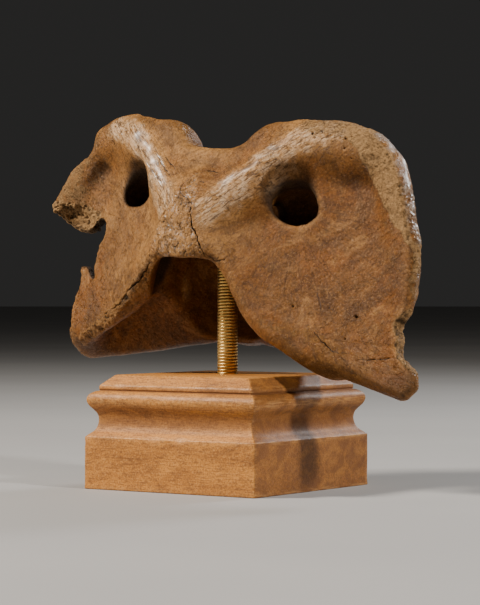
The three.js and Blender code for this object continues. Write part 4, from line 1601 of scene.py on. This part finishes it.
@dataclass(frozen=True)
class Studio:
    """The floor, the surroundings and the lights."""

    camera: PhotoCamera = PhotoCamera()
    floor_radius: float = 14.0
    sky: tuple = tone(206, 204, 201)
    sky_strength: float = 0.038
    lights: tuple[SoftLight, ...] = (
        SoftLight("key_light", -1.2, 1.0, 0.2, 0.3, 45.0, (1.0, 0.94, 0.86)),
        SoftLight("right_light", 0.93, 0.76, 0.87, 0.14, 17.5, (1.0, 0.96, 0.92)),
        SoftLight("rim_light", 1.0, 0.7, -0.9, 0.3, 14.0, (0.92, 0.96, 1.0)),
    )

    def build(self) -> None:
        """Makes the floor, the world's light and the soft lights."""
        self.build_floor()
        self.build_surroundings()
        self.build_lights()

    def build_floor(self) -> None:
        """Makes the round floor and gives it its finish."""
        shape = bmesh.new()
        bmesh.ops.create_circle(shape, cap_ends=True, segments=96, radius=self.floor_radius)
        mesh = bpy.data.meshes.new("studio_floor")
        shape.to_mesh(mesh)
        shape.free()
        floor = bpy.data.objects.new("studio_floor", mesh)
        bpy.context.scene.collection.objects.link(floor)
        mesh.materials.append(FloorFinish().material())

    def build_surroundings(self) -> None:
        """Makes the dim light that comes from all around."""
        world = bpy.data.worlds.new("studio")
        world.use_nodes = True
        backdrop = world.node_tree.nodes["Background"]
        backdrop.inputs["Color"].default_value = self.sky
        backdrop.inputs["Strength"].default_value = self.sky_strength
        bpy.context.scene.world = world

    def build_lights(self) -> None:
        """Makes the soft lights and turns them towards the camera's aim."""
        right, up, back = self.camera.axes()
        aim = self.camera.aim()
        for light in self.lights:
            data = bpy.data.lights.new(light.name, "AREA")
            data.size = light.size
            data.energy = light.power
            data.color = light.colour
            lamp = bpy.data.objects.new(light.name, data)
            lamp.location = aim + right * light.aside + up * light.above + back * light.toward
            lamp.rotation_euler = (aim - lamp.location).to_track_quat("-Z", "Y").to_euler()
            bpy.context.scene.collection.objects.link(lamp)


def dress(piece: bpy.types.Object, material: bpy.types.Material, node: str) -> None:
    """Gives a piece its material, lets it ride on the body and stand for its CAD node."""
    piece.data.materials.clear()
    piece.data.materials.append(material)
    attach(piece, "root")
    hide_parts(node)
    LOG.info("%s stands for %s", piece.name, node)


def main() -> None:
    """Loads the frame, builds each piece in order and sets up the studio."""
    logging.basicConfig(level=logging.INFO, format="%(name)s %(message)s")
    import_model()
    PhotoCamera().build()
    dress(BoneSurface().build(), FossilBoneFinish().material(), "vertebra")
    dress(ThreadedRod().build(), BrassFinish().material(), "threaded_rod")
    dress(MouldedBlock().build(), WoodFinish().material(), "wooden_block")
    Studio().build()


if __name__ == "__main__":
    main()
